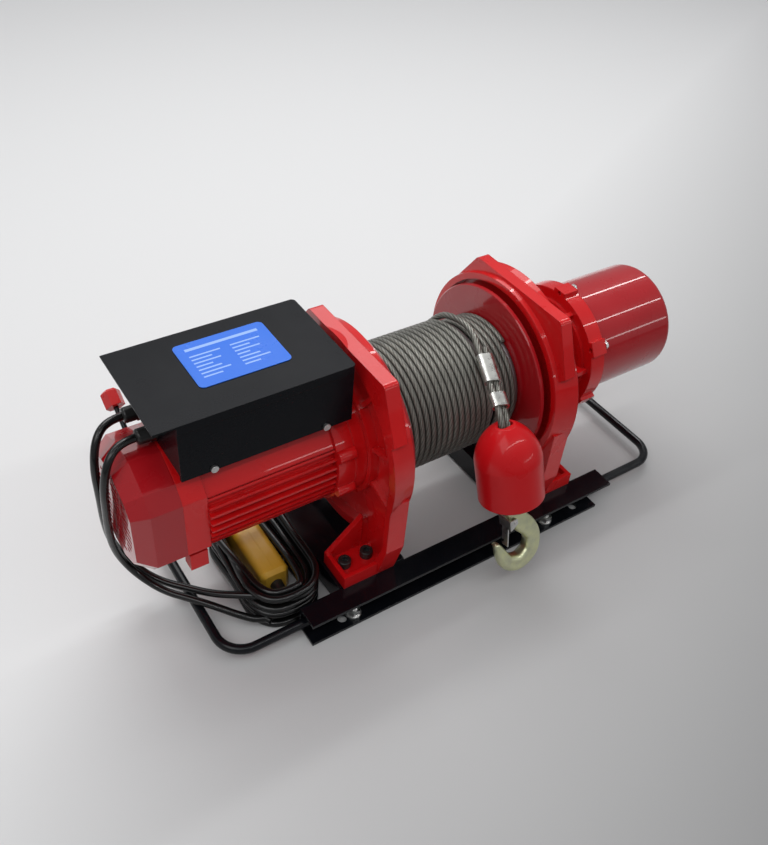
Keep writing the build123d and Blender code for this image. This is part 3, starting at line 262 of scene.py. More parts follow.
def hank_turns(start, turns, base, places, seed):
    """Control points of a lead's turns in its hank. Each turn has its own column and row of the
    bundle, and moves over to the next in the last third of its way, by the blend t^2 (3 - 2t).
    A small seeded wander keeps any two turns from lying alike."""
    count = int(round(turns * points_per_turn)) + 1
    grown = np.linspace(0, turns, count)
    lap = np.minimum(np.floor(grown), len(places) - 1).astype(int)
    following = np.minimum(lap + 1, len(places) - 1)
    blend = np.clip((grown - lap - (1 - shift_share)) / shift_share, 0, 1)[:, None]
    blend = blend * blend * (3 - 2 * blend)
    table = np.array(places)
    place = table[lap] * (1 - blend) + table[following] * blend
    wander = np.random.default_rng(seed).normal(0, wander_size, (count, 2))
    flat = np.array([hank_outline(start + g, p[0] * hank_columns + hank_first_column)
                     for g, p in zip(grown, place)])
    height = base + hank_first_row + place[:, 1] * hank_rows
    points = np.column_stack([flat, height])
    points[:, :2] += wander
    return points


hank_start = 0.86
upper_hank_base = 0.028
upper_places = [(0, 1), (0, 0), (1, 0), (1, 1), (0, 2), (1, 2)]
lower_places = [(1, 1), (1, 0), (0, 0), (0, 2), (1, 2), (0, 1)]
upper_turns = hank_turns(hank_start, turns=5.3, base=upper_hank_base, places=upper_places, seed=3)
lower_turns = hank_turns(hank_start, turns=5.05, base=0.0, places=lower_places, seed=5)
print("points in the hanks:", len(upper_turns), "and", len(lower_turns))

# %% [markdown]
# Two leads. The mains lead runs from its gland round the motor's tail into the upper hank, and out
# of it again to the plug. The lead of the hand control goes beside it into the lower hank, and ends
# there. A few points where a route meets its hank are left out, so that the spline runs in smoothly.

# %% Two leads
def curve_length(control):
    """The length of the spline that these control points give."""
    return float(lengths_along(spline_line(control))[-1])


plug_route = np.array([(-0.217, 0.080, 0.035), (-0.240, 0.096, 0.018), (-0.266, 0.096, 0.018)])
power_control = np.vstack([power_route, upper_turns[2:-2], plug_route])
power_lead = spline_curve("power_lead", power_control, cord_radius)
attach(power_lead, "base")
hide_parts("power_cord", "power_hank", "plug_cord")
pendant_control = np.vstack([pendant_route, lower_turns[2:]])
pendant_lead = spline_curve("pendant_lead", pendant_control, cord_radius)
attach(pendant_lead, "base")
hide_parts("pendant_cord", "pendant_hank")

power_length = curve_length(power_control)
pendant_length = curve_length(pendant_control)
print("power lead", round(power_length, 2), "m, pendant lead", round(pendant_length, 2), "m")

# %% [markdown]
# Wire rope on the drum. Six strands of thin wires are laid round a core, and the rope is wound in
# close turns, each pressed against the last. The turns are one long helix. Its strands could be
# separate tubes, but there are ten metres of rope, so the helix is a smooth tube whose UV map
# carries the lay: a bump of six lobes that twists once in every lay length.

# %% Wound rope
rope_radius = 0.004
rope_lay = 0.054
drum_height = 0.190
rope_pitch = 0.00822
winding_left = -0.090
winding_step = 0.050
winding_right = 0.094
layer_gap = 0.0005
top_reach = 0.0838
lower_reach = 0.0786
helix_spacing = 0.0040
places_round_rope = 14
turn_swell = 1.03


def helix(x_start, x_end, radius):
    """Centre line and outward direction of a helix on the drum: x grows by one pitch per turn,
    and the other two are radius cos a and radius sin a about the drum's axis."""
    turns = (x_end - x_start) / rope_pitch
    count = int(turns * 2 * np.pi * radius / helix_spacing)
    angle = np.linspace(0, 2 * np.pi * turns, count)
    outward = np.stack([np.zeros(count), np.cos(angle), np.sin(angle)], -1)
    line = radius * outward
    line[:, 0] = x_start + (x_end - x_start) * np.linspace(0, 1, count)
    line[:, 2] += drum_height
    return line, outward


def wound_rope(name, x_start, x_end, outer):
    """One layer of rope between two places on the drum, whose tops reach the radius outer. The
    tube is a little thicker than the rope, so that each turn is pressed against the next."""
    line, outward = helix(x_start + rope_radius, x_end - rope_radius, outer - rope_radius)
    rings = tube_rings(line, rope_radius * turn_swell, places_round_rope, outward)
    along = lengths_along(line)
    made = make_object(name, mesh_from_rings(name, rings, along))
    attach(made, "drum")
    print(name, "is", round(float(along[-1]), 2), "m of rope")
    return made


top_layer = wound_rope("rope_top_layer", winding_left, winding_step, top_reach)
lower_layer = wound_rope("rope_lower_layer", winding_step + layer_gap, winding_right, lower_reach)

# %% [markdown]
# Under the top turns lie more turns that only show as darkness in the gaps. A copy of the frame's
# plain winding fills that space. Its rim is drawn in towards the drum's axis, below the rope.

# %% Under the turns
core_inset = 0.0045
core_rim = 0.07
core = make_object("rope_under_layers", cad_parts["rope_winding"].data.copy())
core_points = np.empty(len(core.data.vertices) * 3)
core.data.vertices.foreach_get("co", core_points)
core_points = core_points.reshape(-1, 3)
axis_place = np.array([0.0, drum_height])
out = core_points[:, 1:] - axis_place
reach = np.linalg.norm(out, axis=1)
shrunk = np.where(reach > core_rim, reach - core_inset, reach)
core_points[:, 1:] = axis_place + out * (shrunk / reach)[:, None]
core.data.vertices.foreach_set("co", core_points.reshape(-1))
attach(core, "drum")
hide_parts("rope_winding")
print("the filling reaches", round(float(shrunk.max()) * 1000, 1), "mm from the axis")

# %% [markdown]
# The free end of the rope leaves the top turns over a quarter of the drum and drops straight into
# the weight. The weight, its hook and both strands hang along one slanting line, so three directions
# are worked out for them first: up that line, across it along the drum, and to the front.

# %% Rope tail route
hang_top = np.array([0.019, -0.132, 0.233])
hang_up = np.array([-0.0876, 0.2532, 0.9640])
hang_up /= np.linalg.norm(hang_up)
hang_side = np.array([1.0, 0.0, 0.0]) - hang_up[0] * hang_up
hang_side /= np.linalg.norm(hang_side)
hang_front = np.cross(hang_up, hang_side)
strand_offset = 0.0044
rope_entry = 0.008
rope_depth = 0.020
tail_gap = 0.0008
tail_step = math.radians(20.0)
tail_places = (0.0470, 0.0485, 0.0505, 0.0530)
tail_steps_back = (3.5, 2.5, 1.5, 0.5)
tail_depths = (0.0095, 0.0015, 0.0, 0.0)
run_past_drum = 0.031
run_before_weight = 0.028


def tail_points():
    """The tail's control points: the tangent from the weight touches the circle of the tail's
    radius at the angle atan2(height, reach) + acos(radius / distance), and the points go on round
    from there in equal steps, each at radius / cos(half a step) so that the runs just touch the
    circle. The first two points lie deeper, where the rope comes up out of the turns."""
    entry = hang_top + rope_entry * hang_up - strand_offset * hang_side
    radius = top_reach + rope_radius + tail_gap
    height = entry[2] - drum_height
    leave = math.atan2(height, -entry[1]) + math.acos(radius / math.hypot(entry[1], height))
    angles = leave + np.array(tail_steps_back) * tail_step
    reach = radius / math.cos(tail_step / 2) - np.array(tail_depths)
    forward = -reach * np.cos(angles)
    upward = drum_height + reach * np.sin(angles)
    round_drum = np.column_stack([tail_places, forward, upward])
    last = round_drum[-1]
    run = (entry - last) / np.linalg.norm(entry - last)
    straight = [last + run_past_drum * run, entry - run_before_weight * run, entry]
    buried = entry - (rope_entry + rope_depth) * hang_up
    return np.vstack([round_drum, straight, buried])


tail_route = tail_points()
print("tail route in mm:", (tail_route * 1000).round(1).tolist())

# %% [markdown]
# Being short and near the eye, the tail gets real strands: the ring's radius swells six times round,
# and the swelling turns along the rope. The rope's end comes back out of the weight beside it, and
# two pressed sleeves hold the strands together. The sleeves are solid pieces of the frame.

# %% Laid rope
strand_core = 0.84
strand_swell = 0.18
laid_around = 42
laid_spacing = 0.0012
fine_resolution = 24
returned_reach = 0.097


def even_line(line, spacing):
    """The same line with its points an even distance apart."""
    along = lengths_along(line)
    even = np.linspace(0, along[-1], int(along[-1] / spacing))
    return np.stack([np.interp(even, along, line[:, axis]) for axis in range(3)], -1)


def laid_rope(name, line, body):
    """A rope with six visible strands: radius R (0.84 + 0.18 sqrt |cos 3(a - 2 pi s / lay)|)."""
    along = lengths_along(line)
    rings = tube_rings(line, 1.0, laid_around, np.array([[1.0, 0.0, 0.0]]))
    angle = np.linspace(0, 2 * np.pi, laid_around, endpoint=False)[None, :]
    lobes = np.abs(np.cos(3 * (angle - 2 * np.pi * along[:, None] / rope_lay)))
    swell = rope_radius * (strand_core + strand_swell * np.sqrt(lobes))
    rings = line[:, None] + (rings - line[:, None]) * swell[..., None]
    made = make_object(name, mesh_from_rings(name, rings, along))
    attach(made, body)
    return made


tail_line = even_line(spline_line(tail_route, fine_resolution), laid_spacing)
rope_tail = laid_rope("laid_rope_tail", tail_line, "base")
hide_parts("rope_tail")
print("tail", round(float(lengths_along(tail_line)[-1]) * 1000), "mm of rope")

tail_entry = tail_route[-2]
tail_run = (tail_entry - tail_route[3]) / np.linalg.norm(tail_entry - tail_route[3])
returned_start = tail_entry - returned_reach * tail_run
returned_route = np.array([returned_start, tail_entry, tail_route[-1]]) + 2 * strand_offset * hang_side
returned_line = even_line(spline_line(returned_route, fine_resolution), laid_spacing)
returned_end = laid_rope("returned_rope_end", returned_line, "base")
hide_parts("rope_tail")
print("returned end", round(float(lengths_along(returned_line)[-1]) * 1000), "mm of rope")

# %% [markdown]
# The hook is forged: one bar bent round, thickest at the bottom of its bowl, with rounded edges and
# a shallow groove pressed into each side. A bent bar is a path that carries a changing section, so a
# table gives the path's places with the bar's width and thickness there, and splines join them.

# %% Path of the hook
hook_places = np.array([
    (0.0, -118.0, 21.0, 15.0), (1.5, -130.0, 23.0, 17.0), (8.5, -145.0, 26.0, 17.5),
    (18.5, -159.0, 25.0, 18.0), (25.0, -176.0, 22.0, 18.5), (19.6, -196.5, 23.0, 19.0),
    (1.0, -205.5, 23.5, 19.0), (-16.6, -197.5, 20.5, 18.0), (-23.8, -182.5, 15.5, 16.5),
    (-27.0, -171.0, 10.5, 14.0), (-30.5, -162.5, 6.5, 11.0)]) / 1000
path_steps = 90
tip_shrink = np.array([0.8, 0.5, 0.15])
tip_rise = np.array([0.0010, 0.0019, 0.0023])


def hang_in_place(across, up, deep):
    """Points of the hook's own upright frame, put where the hook hangs."""
    sideways = across[..., None] * hang_side
    return hang_top + sideways + up[..., None] * hang_up + deep[..., None] * hang_front


def smooth_rows(rows, count):
    """Rows of numbers joined smoothly: each column is a Catmull-Rom curve through its values,
    which is a cubic whose slope at each value is half the step between its neighbours."""
    padded = np.vstack([2 * rows[0] - rows[1], rows, 2 * rows[-1] - rows[-2]])
    place = np.linspace(0, len(rows) - 1 - 1e-9, count)
    part = place.astype(int)
    t = (place - part)[:, None]
    a, b, c, d = (padded[part + k] for k in range(4))
    squared = (2 * a - 5 * b + 4 * c - d) * t**2
    cubed = (3 * b - a - 3 * c + d) * t**3
    return 0.5 * (2 * b + (c - a) * t + squared + cubed)


def hook_rows():
    """The table's rows joined smoothly, and three more that round off the tip."""
    rows = smooth_rows(hook_places, path_steps)
    across, up, width, thick = rows[-1]
    tip_across = np.full(len(tip_rise), across)
    tip = np.column_stack([tip_across, up + tip_rise, width * tip_shrink, thick * tip_shrink])
    return np.vstack([rows, tip])


hook_path = hook_rows()
print("the bar is", round(float(hook_path[:, 2].max()) * 1000, 1), "mm wide at most")

# %% [markdown]
# The bar's section is carried along that path. Cos and sin of an angle draw a circle. Raised to a
# power below one, they bulge towards the corners and give a square with well-rounded edges.

# %% Bent bar
places_round_bar = 48
section_power = 0.7
groove_depth = 0.0012
groove_width = 0.30
groove_start = 0.30
groove_end = 0.90
groove_fade = 0.12


def forged_hook(rows):
    """The bent bar. Each side of its section is cos or sin of the angle to the power 0.7, times
    half the width or thickness, less a groove 1.2 mm deep, shaped as exp(-(u / 0.3)^2), in the
    side faces along the bowl."""
    across, up, width, thick = rows.T
    slope = unit_rows(np.column_stack([np.gradient(across), np.gradient(up)]))
    angle = np.linspace(0, 2 * np.pi, places_round_bar, endpoint=False)
    cosine, sine = np.cos(angle), np.sin(angle)
    out = np.sign(cosine) * np.abs(cosine) ** section_power
    deep = np.sign(sine) * np.abs(sine) ** section_power
    share = np.linspace(0, 1, len(rows))
    fade_in = np.clip((share - groove_start) / groove_fade, 0, 1)
    fade_out = np.clip((groove_end - share) / groove_fade, 0, 1)
    pressed = groove_depth * (fade_in * fade_out)[:, None]
    groove = pressed * np.exp(-(out / groove_width) ** 2) * np.sign(sine)
    side = out * width[:, None] / 2
    x = across[:, None] - slope[:, 1:] * side
    z = up[:, None] + slope[:, :1] * side
    y = deep * thick[:, None] / 2 - groove
    return hang_in_place(x, z, y), lengths_along(np.column_stack([across, up]))


def face_outwards(mesh):
    """Turns every face outwards, whichever way its rings ran."""
    shape = bmesh.new()
    shape.from_mesh(mesh)
    bmesh.ops.recalc_face_normals(shape, faces=shape.faces)
    shape.to_mesh(mesh)
    shape.free()
    return mesh


bar_rings, bar_along = forged_hook(hook_path)
bar_mesh = mesh_from_rings("forged_hook_bar", bar_rings, bar_along)
hook_bar = make_object("forged_hook_bar", face_outwards(bar_mesh))
print("the bar is", round(float(bar_along[-1]) * 1000), "mm long")

# %% [markdown]
# Above the bar sits a short turned shank with a collar, and the shank goes up into the weight. A
# turned piece is a profile swept round an axis, so its rings are circles of the profile's radii.

# %% Turned shank
hook_collar = np.array([
    (-0.0945, 0.0070), (-0.1020, 0.0070), (-0.1076, 0.0070), (-0.1080, 0.0100), (-0.1090, 0.0110),
    (-0.1180, 0.0110), (-0.1197, 0.0100), (-0.1215, 0.0060)])
places_round_shank = 40


def turned_rings(profile):
    """Rings of a turned piece in the hook's frame: height z and radius r give (r cos a, r sin a, z)."""
    angle = np.linspace(0, 2 * np.pi, places_round_shank, endpoint=False)
    x = profile[:, 1:] * np.cos(angle)
    y = profile[:, 1:] * np.sin(angle)
    z = np.repeat(profile[:, :1], places_round_shank, axis=1)
    return hang_in_place(x, z, y)


shank_mesh = mesh_from_rings("hook_shank", turned_rings(hook_collar), lengths_along(hook_collar))
hook_shank = make_object("hook_shank", face_outwards(shank_mesh))
for piece in (hook_bar, hook_shank):
    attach(piece, "swivel_hook")
    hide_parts("hook")
print("the shank is", round(float(hook_collar[0, 0] - hook_collar[-1, 0]) * 1000), "mm tall")

# %% [markdown]
# Materials. A shader is a small machine of nodes. These helpers keep each one readable: one adds
# a node with its settings, one does a step of arithmetic, one adds a noise pattern read from the
# object's own coordinates, and one turns a pattern into numbers between two limits.

# %% Shader helpers
colour_a, colour_b, colour_out = 6, 7, 2


def new_finish(name, colour, metallic=0.0, roughness=0.5):
    """A material with its main shader, whose plain values sit on the shader's own sockets."""
    finish = bpy.data.materials.new(name)
    finish.use_nodes = True
    tree = finish.node_tree
    shader = tree.nodes["Principled BSDF"]
    shader.inputs["Base Color"].default_value = (*colour, 1)
    shader.inputs["Metallic"].default_value = metallic
    shader.inputs["Roughness"].default_value = roughness
    return finish, tree, shader


def add(tree, kind, **settings):
    """Adds a node, with its properties set by name."""
    made = tree.nodes.new(kind)
    for key, value in settings.items():
        setattr(made, key, value)
    return made


def number(tree, operation, first, second=0.0):
    """One step of arithmetic. Each side may be a plain number or another node's output."""
    made = add(tree, "ShaderNodeMath", operation=operation)
    for socket, value in ((made.inputs[0], first), (made.inputs[1], second)):
        if isinstance(value, (int, float)):
            socket.default_value = value
        else:
            tree.links.new(value, socket)
    return made.outputs[0]


def noise(tree, scale, detail=4.0):
    """A noise pattern on the object's own coordinates, in patches of about 1 / scale metres."""
    place = add(tree, "ShaderNodeTexCoord")
    made = add(tree, "ShaderNodeTexNoise")
    made.inputs["Scale"].default_value = scale
    made.inputs["Detail"].default_value = detail
    tree.links.new(place.outputs["Object"], made.inputs["Vector"])
    return made.outputs["Fac"]


def between(tree, value, low, high, start=0.3, end=0.7):
    """Maps a pattern from the limits start and end to the limits low and high."""
    made = add(tree, "ShaderNodeMapRange")
    made.inputs["From Min"].default_value = start
    made.inputs["From Max"].default_value = end
    made.inputs["To Min"].default_value = low
    made.inputs["To Max"].default_value = high
    tree.links.new(value, made.inputs["Value"])
    return made.outputs["Result"]


def blend_colours(tree, share, first, second):
    """A colour between two, by a pattern. Either may be a plain colour or another node's output.
    A Mix node has sockets for each kind of value, so its colours are picked by number."""
    made = add(tree, "ShaderNodeMix", data_type="RGBA")
    tree.links.new(share, made.inputs["Factor"])
    for socket, colour in ((made.inputs[colour_a], first), (made.inputs[colour_b], second)):
        if isinstance(colour, tuple):
            socket.default_value = (*colour, 1)
        else:
            tree.links.new(colour, socket)
    return made.outputs[colour_out]


print("a Mix node's colours go in at sockets", colour_a, "and", colour_b)

# %% [markdown]
# Small relief and soft edges. A bump tilts the light on a surface without moving it, which is right
# for ripples in paint and for fine grain. The Bevel node does the same for a rounded edge, and where
# it departs most from the flat surface there is an edge, which is where paint wears.

# %% Relief and edges
bevel_samples = 4


def bump(tree, shader, height, distance, strength=1.0, soften=0.0):
    """Lets a pattern tilt the surface as if it stood up by distance, over edges softened by a
    small radius where the real edge is rounded."""
    made = add(tree, "ShaderNodeBump")
    made.inputs["Distance"].default_value = distance
    made.inputs["Strength"].default_value = strength
    tree.links.new(height, made.inputs["Height"])
    if soften:
        edge = add(tree, "ShaderNodeBevel", samples=bevel_samples)
        edge.inputs["Radius"].default_value = soften
        tree.links.new(edge.outputs["Normal"], made.inputs["Normal"])
    tree.links.new(made.outputs["Normal"], shader.inputs["Normal"])


def edge_mask(tree, radius):
    """White where a sharp edge is near: one minus the dot product of the softened normal and the
    flat one, stretched so that a square edge reads as one."""
    edge = add(tree, "ShaderNodeBevel", samples=bevel_samples)
    edge.inputs["Radius"].default_value = radius
    flat = add(tree, "ShaderNodeNewGeometry")
    dot = add(tree, "ShaderNodeVectorMath", operation="DOT_PRODUCT")
    tree.links.new(edge.outputs["Normal"], dot.inputs[0])
    tree.links.new(flat.outputs["Normal"], dot.inputs[1])
    return between(tree, dot.outputs["Value"], 1.0, 0.0, start=0.80, end=0.99)


def base_colour(tree, shader, share, first, second):
    """Blends two colours by a pattern into the shader's base colour."""
    tree.links.new(blend_colours(tree, share, first, second), shader.inputs["Base Color"])


def roughness_between(tree, shader, scale, low, high):
    """Lets the roughness wander between two limits, in patches of about 1 / scale metres."""
    tree.links.new(between(tree, noise(tree, scale), low, high), shader.inputs["Roughness"])


print("each soft edge is read with", bevel_samples, "samples")

# %% [markdown]
# Red paint. The castings are sprayed with a thick gloss enamel. On the rough iron it pools and
# ripples, so its mirror image wobbles, while the drawn cap and cowl are smoother. The same recipe
# serves both, with the ripple's size and height as its arguments.

# %% Red enamel
worn_red = (0.24, 0.010, 0.012)
paint_edge = 0.0012


def red_enamel(name, deep, bright, coat, ripple_scale, ripple_height, soften):
    """Gloss red between two tones, with a clear coat, ripples and slightly dulled patches. Where
    an edge and a patch of noise meet, the paint is worn darker."""
    finish, tree, shader = new_finish(name, bright)
    red = blend_colours(tree, between(tree, noise(tree, 7.0), 0.0, 1.0), deep, bright)
    patches = between(tree, noise(tree, 60.0), 0.0, 0.5, start=0.45, end=0.7)
    worn = number(tree, "MULTIPLY", edge_mask(tree, paint_edge), patches)
    base_colour(tree, shader, worn, red, worn_red)
    roughness_between(tree, shader, 22.0, 0.24, 0.40)
    shader.inputs["Specular IOR Level"].default_value = 0.15
    shader.inputs["Coat Weight"].default_value = coat
    shader.inputs["Coat Roughness"].default_value = 0.04
    ripples = noise(tree, ripple_scale, detail=3.0)
    bump(tree, shader, ripples, ripple_height, strength=0.6, soften=soften)
    print("made", name)
    return finish


cast_enamel = red_enamel(
    "cast_red_enamel", deep=(0.50, 0.004, 0.006), bright=(0.66, 0.008, 0.009),
    coat=0.7, ripple_scale=70.0, ripple_height=0.0005, soften=0.0022)
# Painted shade: the cap, cowl and flanges get a darker copy of the castings' red.
shaded_sheet_enamel = red_enamel(
    "shaded_sheet_red_enamel", deep=(0.34, 0.004, 0.008), bright=(0.40, 0.006, 0.011),
    coat=0.9, ripple_scale=30.0, ripple_height=0.0001, soften=0.0012)
weight_enamel = red_enamel(
    "weight_red_enamel", deep=(0.46, 0.004, 0.007), bright=(0.56, 0.007, 0.010),
    coat=0.25, ripple_scale=50.0, ripple_height=0.0003, soften=0.0022)

# %% [markdown]
# Black paint. The rails and bars wear a black enamel that is rubbed and dusty, and the control box
# a finer satin black. Plain black looks like a hole in a picture, so the base is a very dark blue grey
# with clouds of dust, and the edges are paler, partly as rubbed wear and partly as painted highlight.

# %% Black paint
clean_black = (0.0034, 0.0040, 0.0058)
dusty_black = (0.028, 0.028, 0.031)
rubbed_and_highlight_black = (0.09, 0.09, 0.09)
rubbed_and_highlight_edge = 0.0009


def black_paint(name, roughness_low, roughness_high, gloss, dust, soften):
    """Black enamel with dusty clouds, and edges a little paler: partly rubbed wear, partly painted
    highlight.
    """
    finish, tree, shader = new_finish(name, clean_black)
    shader.inputs["Specular IOR Level"].default_value = gloss
    cloud = between(tree, noise(tree, 14.0), 0.0, dust, start=0.45, end=0.75)
    black = blend_colours(tree, cloud, clean_black, dusty_black)
    patches = between(tree, noise(tree, 45.0), 0.05, 0.5)
    # Paler edges: partly rubbed wear, partly a painted highlight.
    rub_and_highlight = number(tree, "MULTIPLY", edge_mask(tree, rubbed_and_highlight_edge), patches)
    base_colour(tree, shader, rub_and_highlight, black, rubbed_and_highlight_black)
    roughness_between(tree, shader, 30.0, roughness_low, roughness_high)
    bump(tree, shader, noise(tree, 300.0, detail=2.0), 0.00012, strength=0.5, soften=soften)
    print("made", name)
    return finish


rail_black = black_paint("rail_black_enamel", 0.10, 0.24, gloss=0.28, dust=0.15, soften=0.0010)
box_black = black_paint("box_satin_black", 0.22, 0.28, gloss=0.09, dust=0.02, soften=0.0010)

# %% [markdown]
# Bare metal, rubber and moulded plastic. The screws are zinc plated, which shows as pale metal with
# blotches, and the hook's zinc is tinted yellow. Plastic and rubber differ from each other only in
# colour, gloss and grain, so one recipe makes them all.

# %% Metal and plastic
def plated_metal(name, colour, blotch, roughness_low, roughness_high):
    """Bright plating with blotches and a fine grain."""
    finish, tree, shader = new_finish(name, colour, metallic=1.0)
    base_colour(tree, shader, between(tree, noise(tree, 90.0), 0.0, 1.0), colour, blotch)
    roughness_between(tree, shader, 160.0, roughness_low, roughness_high)
    bump(tree, shader, noise(tree, 500.0, detail=2.0), 0.00012, strength=0.4, soften=0.0006)
    print("made", name)
    return finish


def moulded(name, colour, paler, roughness, grain):
    """Moulded plastic or rubber: a fine leathery grain and a faint change of tone."""
    finish, tree, shader = new_finish(name, colour, roughness=roughness)
    base_colour(tree, shader, between(tree, noise(tree, 25.0), 0.0, 1.0), colour, paler)
    roughness_between(tree, shader, 70.0, roughness - 0.06, roughness + 0.08)
    bump(tree, shader, noise(tree, 900.0, detail=2.0), grain, strength=0.5, soften=0.0008)
    print("made", name)
    return finish


zinc = plated_metal("bright_zinc", (0.66, 0.66, 0.65), (0.50, 0.50, 0.49), 0.24, 0.42)
yellow_zinc = plated_metal("yellow_zinc", (0.72, 0.74, 0.45), (0.58, 0.60, 0.42), 0.28, 0.44)
sleeve_metal = plated_metal("pressed_aluminium", (0.66, 0.66, 0.62), (0.50, 0.50, 0.47), 0.24, 0.38)
turned_steel = plated_metal("turned_steel", (0.55, 0.55, 0.55), (0.42, 0.42, 0.42), 0.22, 0.36)
stacked_steel = plated_metal("stacked_steel", (0.30, 0.30, 0.31), (0.20, 0.20, 0.20), 0.45, 0.60)
rubber = moulded("black_rubber", (0.003, 0.003, 0.003), (0.007, 0.007, 0.007), 0.20, 0.00004)
black_plastic = moulded("black_plastic", (0.008, 0.008, 0.008), (0.016, 0.016, 0.016), 0.34, 0.0001)
white_plastic = moulded("white_plastic", (0.72, 0.72, 0.70), (0.62, 0.62, 0.60), 0.45, 0.0001)
yellow_plastic = moulded("yellow_plastic", (0.62, 0.33, 0.020), (0.70, 0.41, 0.05), 0.38, 0.0001)
red_plastic = moulded("red_plastic", (0.50, 0.010, 0.010), (0.58, 0.02, 0.02), 0.28, 0.00005)

# %% [markdown]
# Rope finish. The UV map of a rope gives the length along it and the share of the way round. A
# strand is a lobe of |cos 3a| whose angle turns as the length grows, and its thin wires are a
# finer wave laid the other way. The grooves between strands are darkened with painted shade, and so
# are the sides where a wound turn meets its neighbours.

# %% Rope lay
strand_count = 6
wires_crossing = 18
wires_per_metre = 5200.0
wire_relief = 0.16
steel_dark = (0.15, 0.147, 0.130)
steel_pale = (0.26, 0.255, 0.225)
groove_shade_black = (0.008, 0.008, 0.007)


def wire_rope(name, lobe_height, groove_shade_tone, gap_shade_tone):
    """Steel wire rope: height = sqrt |cos 3(a - 2 pi u / lay)| plus 0.16 of the wires' own wave,
    where a is 2 pi v. Painted shade darkens the metal in the grooves between strands, and darkens
    it more where cos 2 pi v is small, which is where a wound turn meets its neighbours."""
    finish, tree, shader = new_finish(name, (0.20, 0.19, 0.17), metallic=0.60)
    place = add(tree, "ShaderNodeUVMap", uv_map="UVMap")
    parts = add(tree, "ShaderNodeSeparateXYZ")
    tree.links.new(place.outputs["UV"], parts.inputs["Vector"])
    along, round_way = parts.outputs["X"], parts.outputs["Y"]
    turned = number(tree, "SUBTRACT", round_way, number(tree, "DIVIDE", along, rope_lay))
    waves = number(tree, "MULTIPLY", turned, strand_count * math.pi)
    lobe = number(tree, "ABSOLUTE", number(tree, "COSINE", waves))
    wires = number(tree, "ADD", number(tree, "MULTIPLY", along, wires_per_metre),
                   number(tree, "MULTIPLY", turned, wires_crossing * math.pi))
    fine = number(tree, "ABSOLUTE", number(tree, "SINE", wires))
    wire_height = number(tree, "MULTIPLY", fine, wire_relief)
    height = number(tree, "ADD", number(tree, "SQRT", lobe), wire_height)
    # Painted shade: darker in the grooves between strands, and where a wound turn meets its neighbours.
    groove = between(tree, lobe, groove_shade_tone, 0.0, start=0.05, end=0.60)
    outermost = number(tree, "COSINE", number(tree, "MULTIPLY", round_way, 2 * math.pi))
    gap = between(tree, outermost, gap_shade_tone, 0.0, start=0.25, end=0.78)
    painted_shade = number(tree, "MAXIMUM", groove, gap)
    steel = blend_colours(tree, between(tree, noise(tree, 18.0), 0.0, 1.0), steel_dark, steel_pale)
    base_colour(tree, shader, painted_shade, steel, groove_shade_black)
    roughness_between(tree, shader, 120.0, 0.30, 0.46)
    bump(tree, shader, height, lobe_height)
    print("made", name)
    return finish


# Both ropes get painted shade in their grooves. The wound rope also gets it between its turns.
wound_finish = wire_rope("wound_wire_rope", lobe_height=0.0005, groove_shade_tone=0.62, gap_shade_tone=0.97)
tail_finish = wire_rope("tail_wire_rope", lobe_height=0.0002, groove_shade_tone=0.85, gap_shade_tone=0.0)

# %% [markdown]
# The blue plate on the box's lid is printed like a blank form: rows of short pale bars in two columns
# under a wider bar. Its pattern is worked out from the object's x and y, so it needs no picture: a
# bar shows where the place in its row and its column both fall inside limits.

# %% Blue plate
plate_low, plate_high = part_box("rating_plate")
plate_blue = (0.010, 0.135, 0.66)
bar_blue = (0.42, 0.60, 0.90)
bar_strength = 0.62
bar_count = 12.5
half_bar = 0.17
ragged_step = 0.618


def share_across(tree, value, low, high):
    """The place of a coordinate between two limits, as a share."""
    return number(tree, "DIVIDE", number(tree, "SUBTRACT", value, low), high - low)


def close_to(tree, value, middle, reach):
    """One where a value lies within reach of a middle, and zero elsewhere."""
    away = number(tree, "ABSOLUTE", number(tree, "SUBTRACT", value, middle))
    return number(tree, "LESS_THAN", away, reach)


def bar_rows(tree, x, y, start, ends):
    """White inside the bars: the middle third of each row, from start to an end that is a
    different share for each row, given by fract(row number * 0.618)."""
    scaled = number(tree, "MULTIPLY", y, bar_count)
    within = close_to(tree, number(tree, "FRACT", scaled), 0.5, half_bar)
    row = number(tree, "FLOOR", scaled)
    ragged = number(tree, "FRACT", number(tree, "MULTIPLY", row, ragged_step))
    end = number(tree, "ADD", number(tree, "MULTIPLY", ragged, ends[1] - ends[0]), ends[0])
    past = number(tree, "GREATER_THAN", x, start)
    before = number(tree, "LESS_THAN", x, end)
    return number(tree, "MULTIPLY", within, number(tree, "MULTIPLY", past, before))


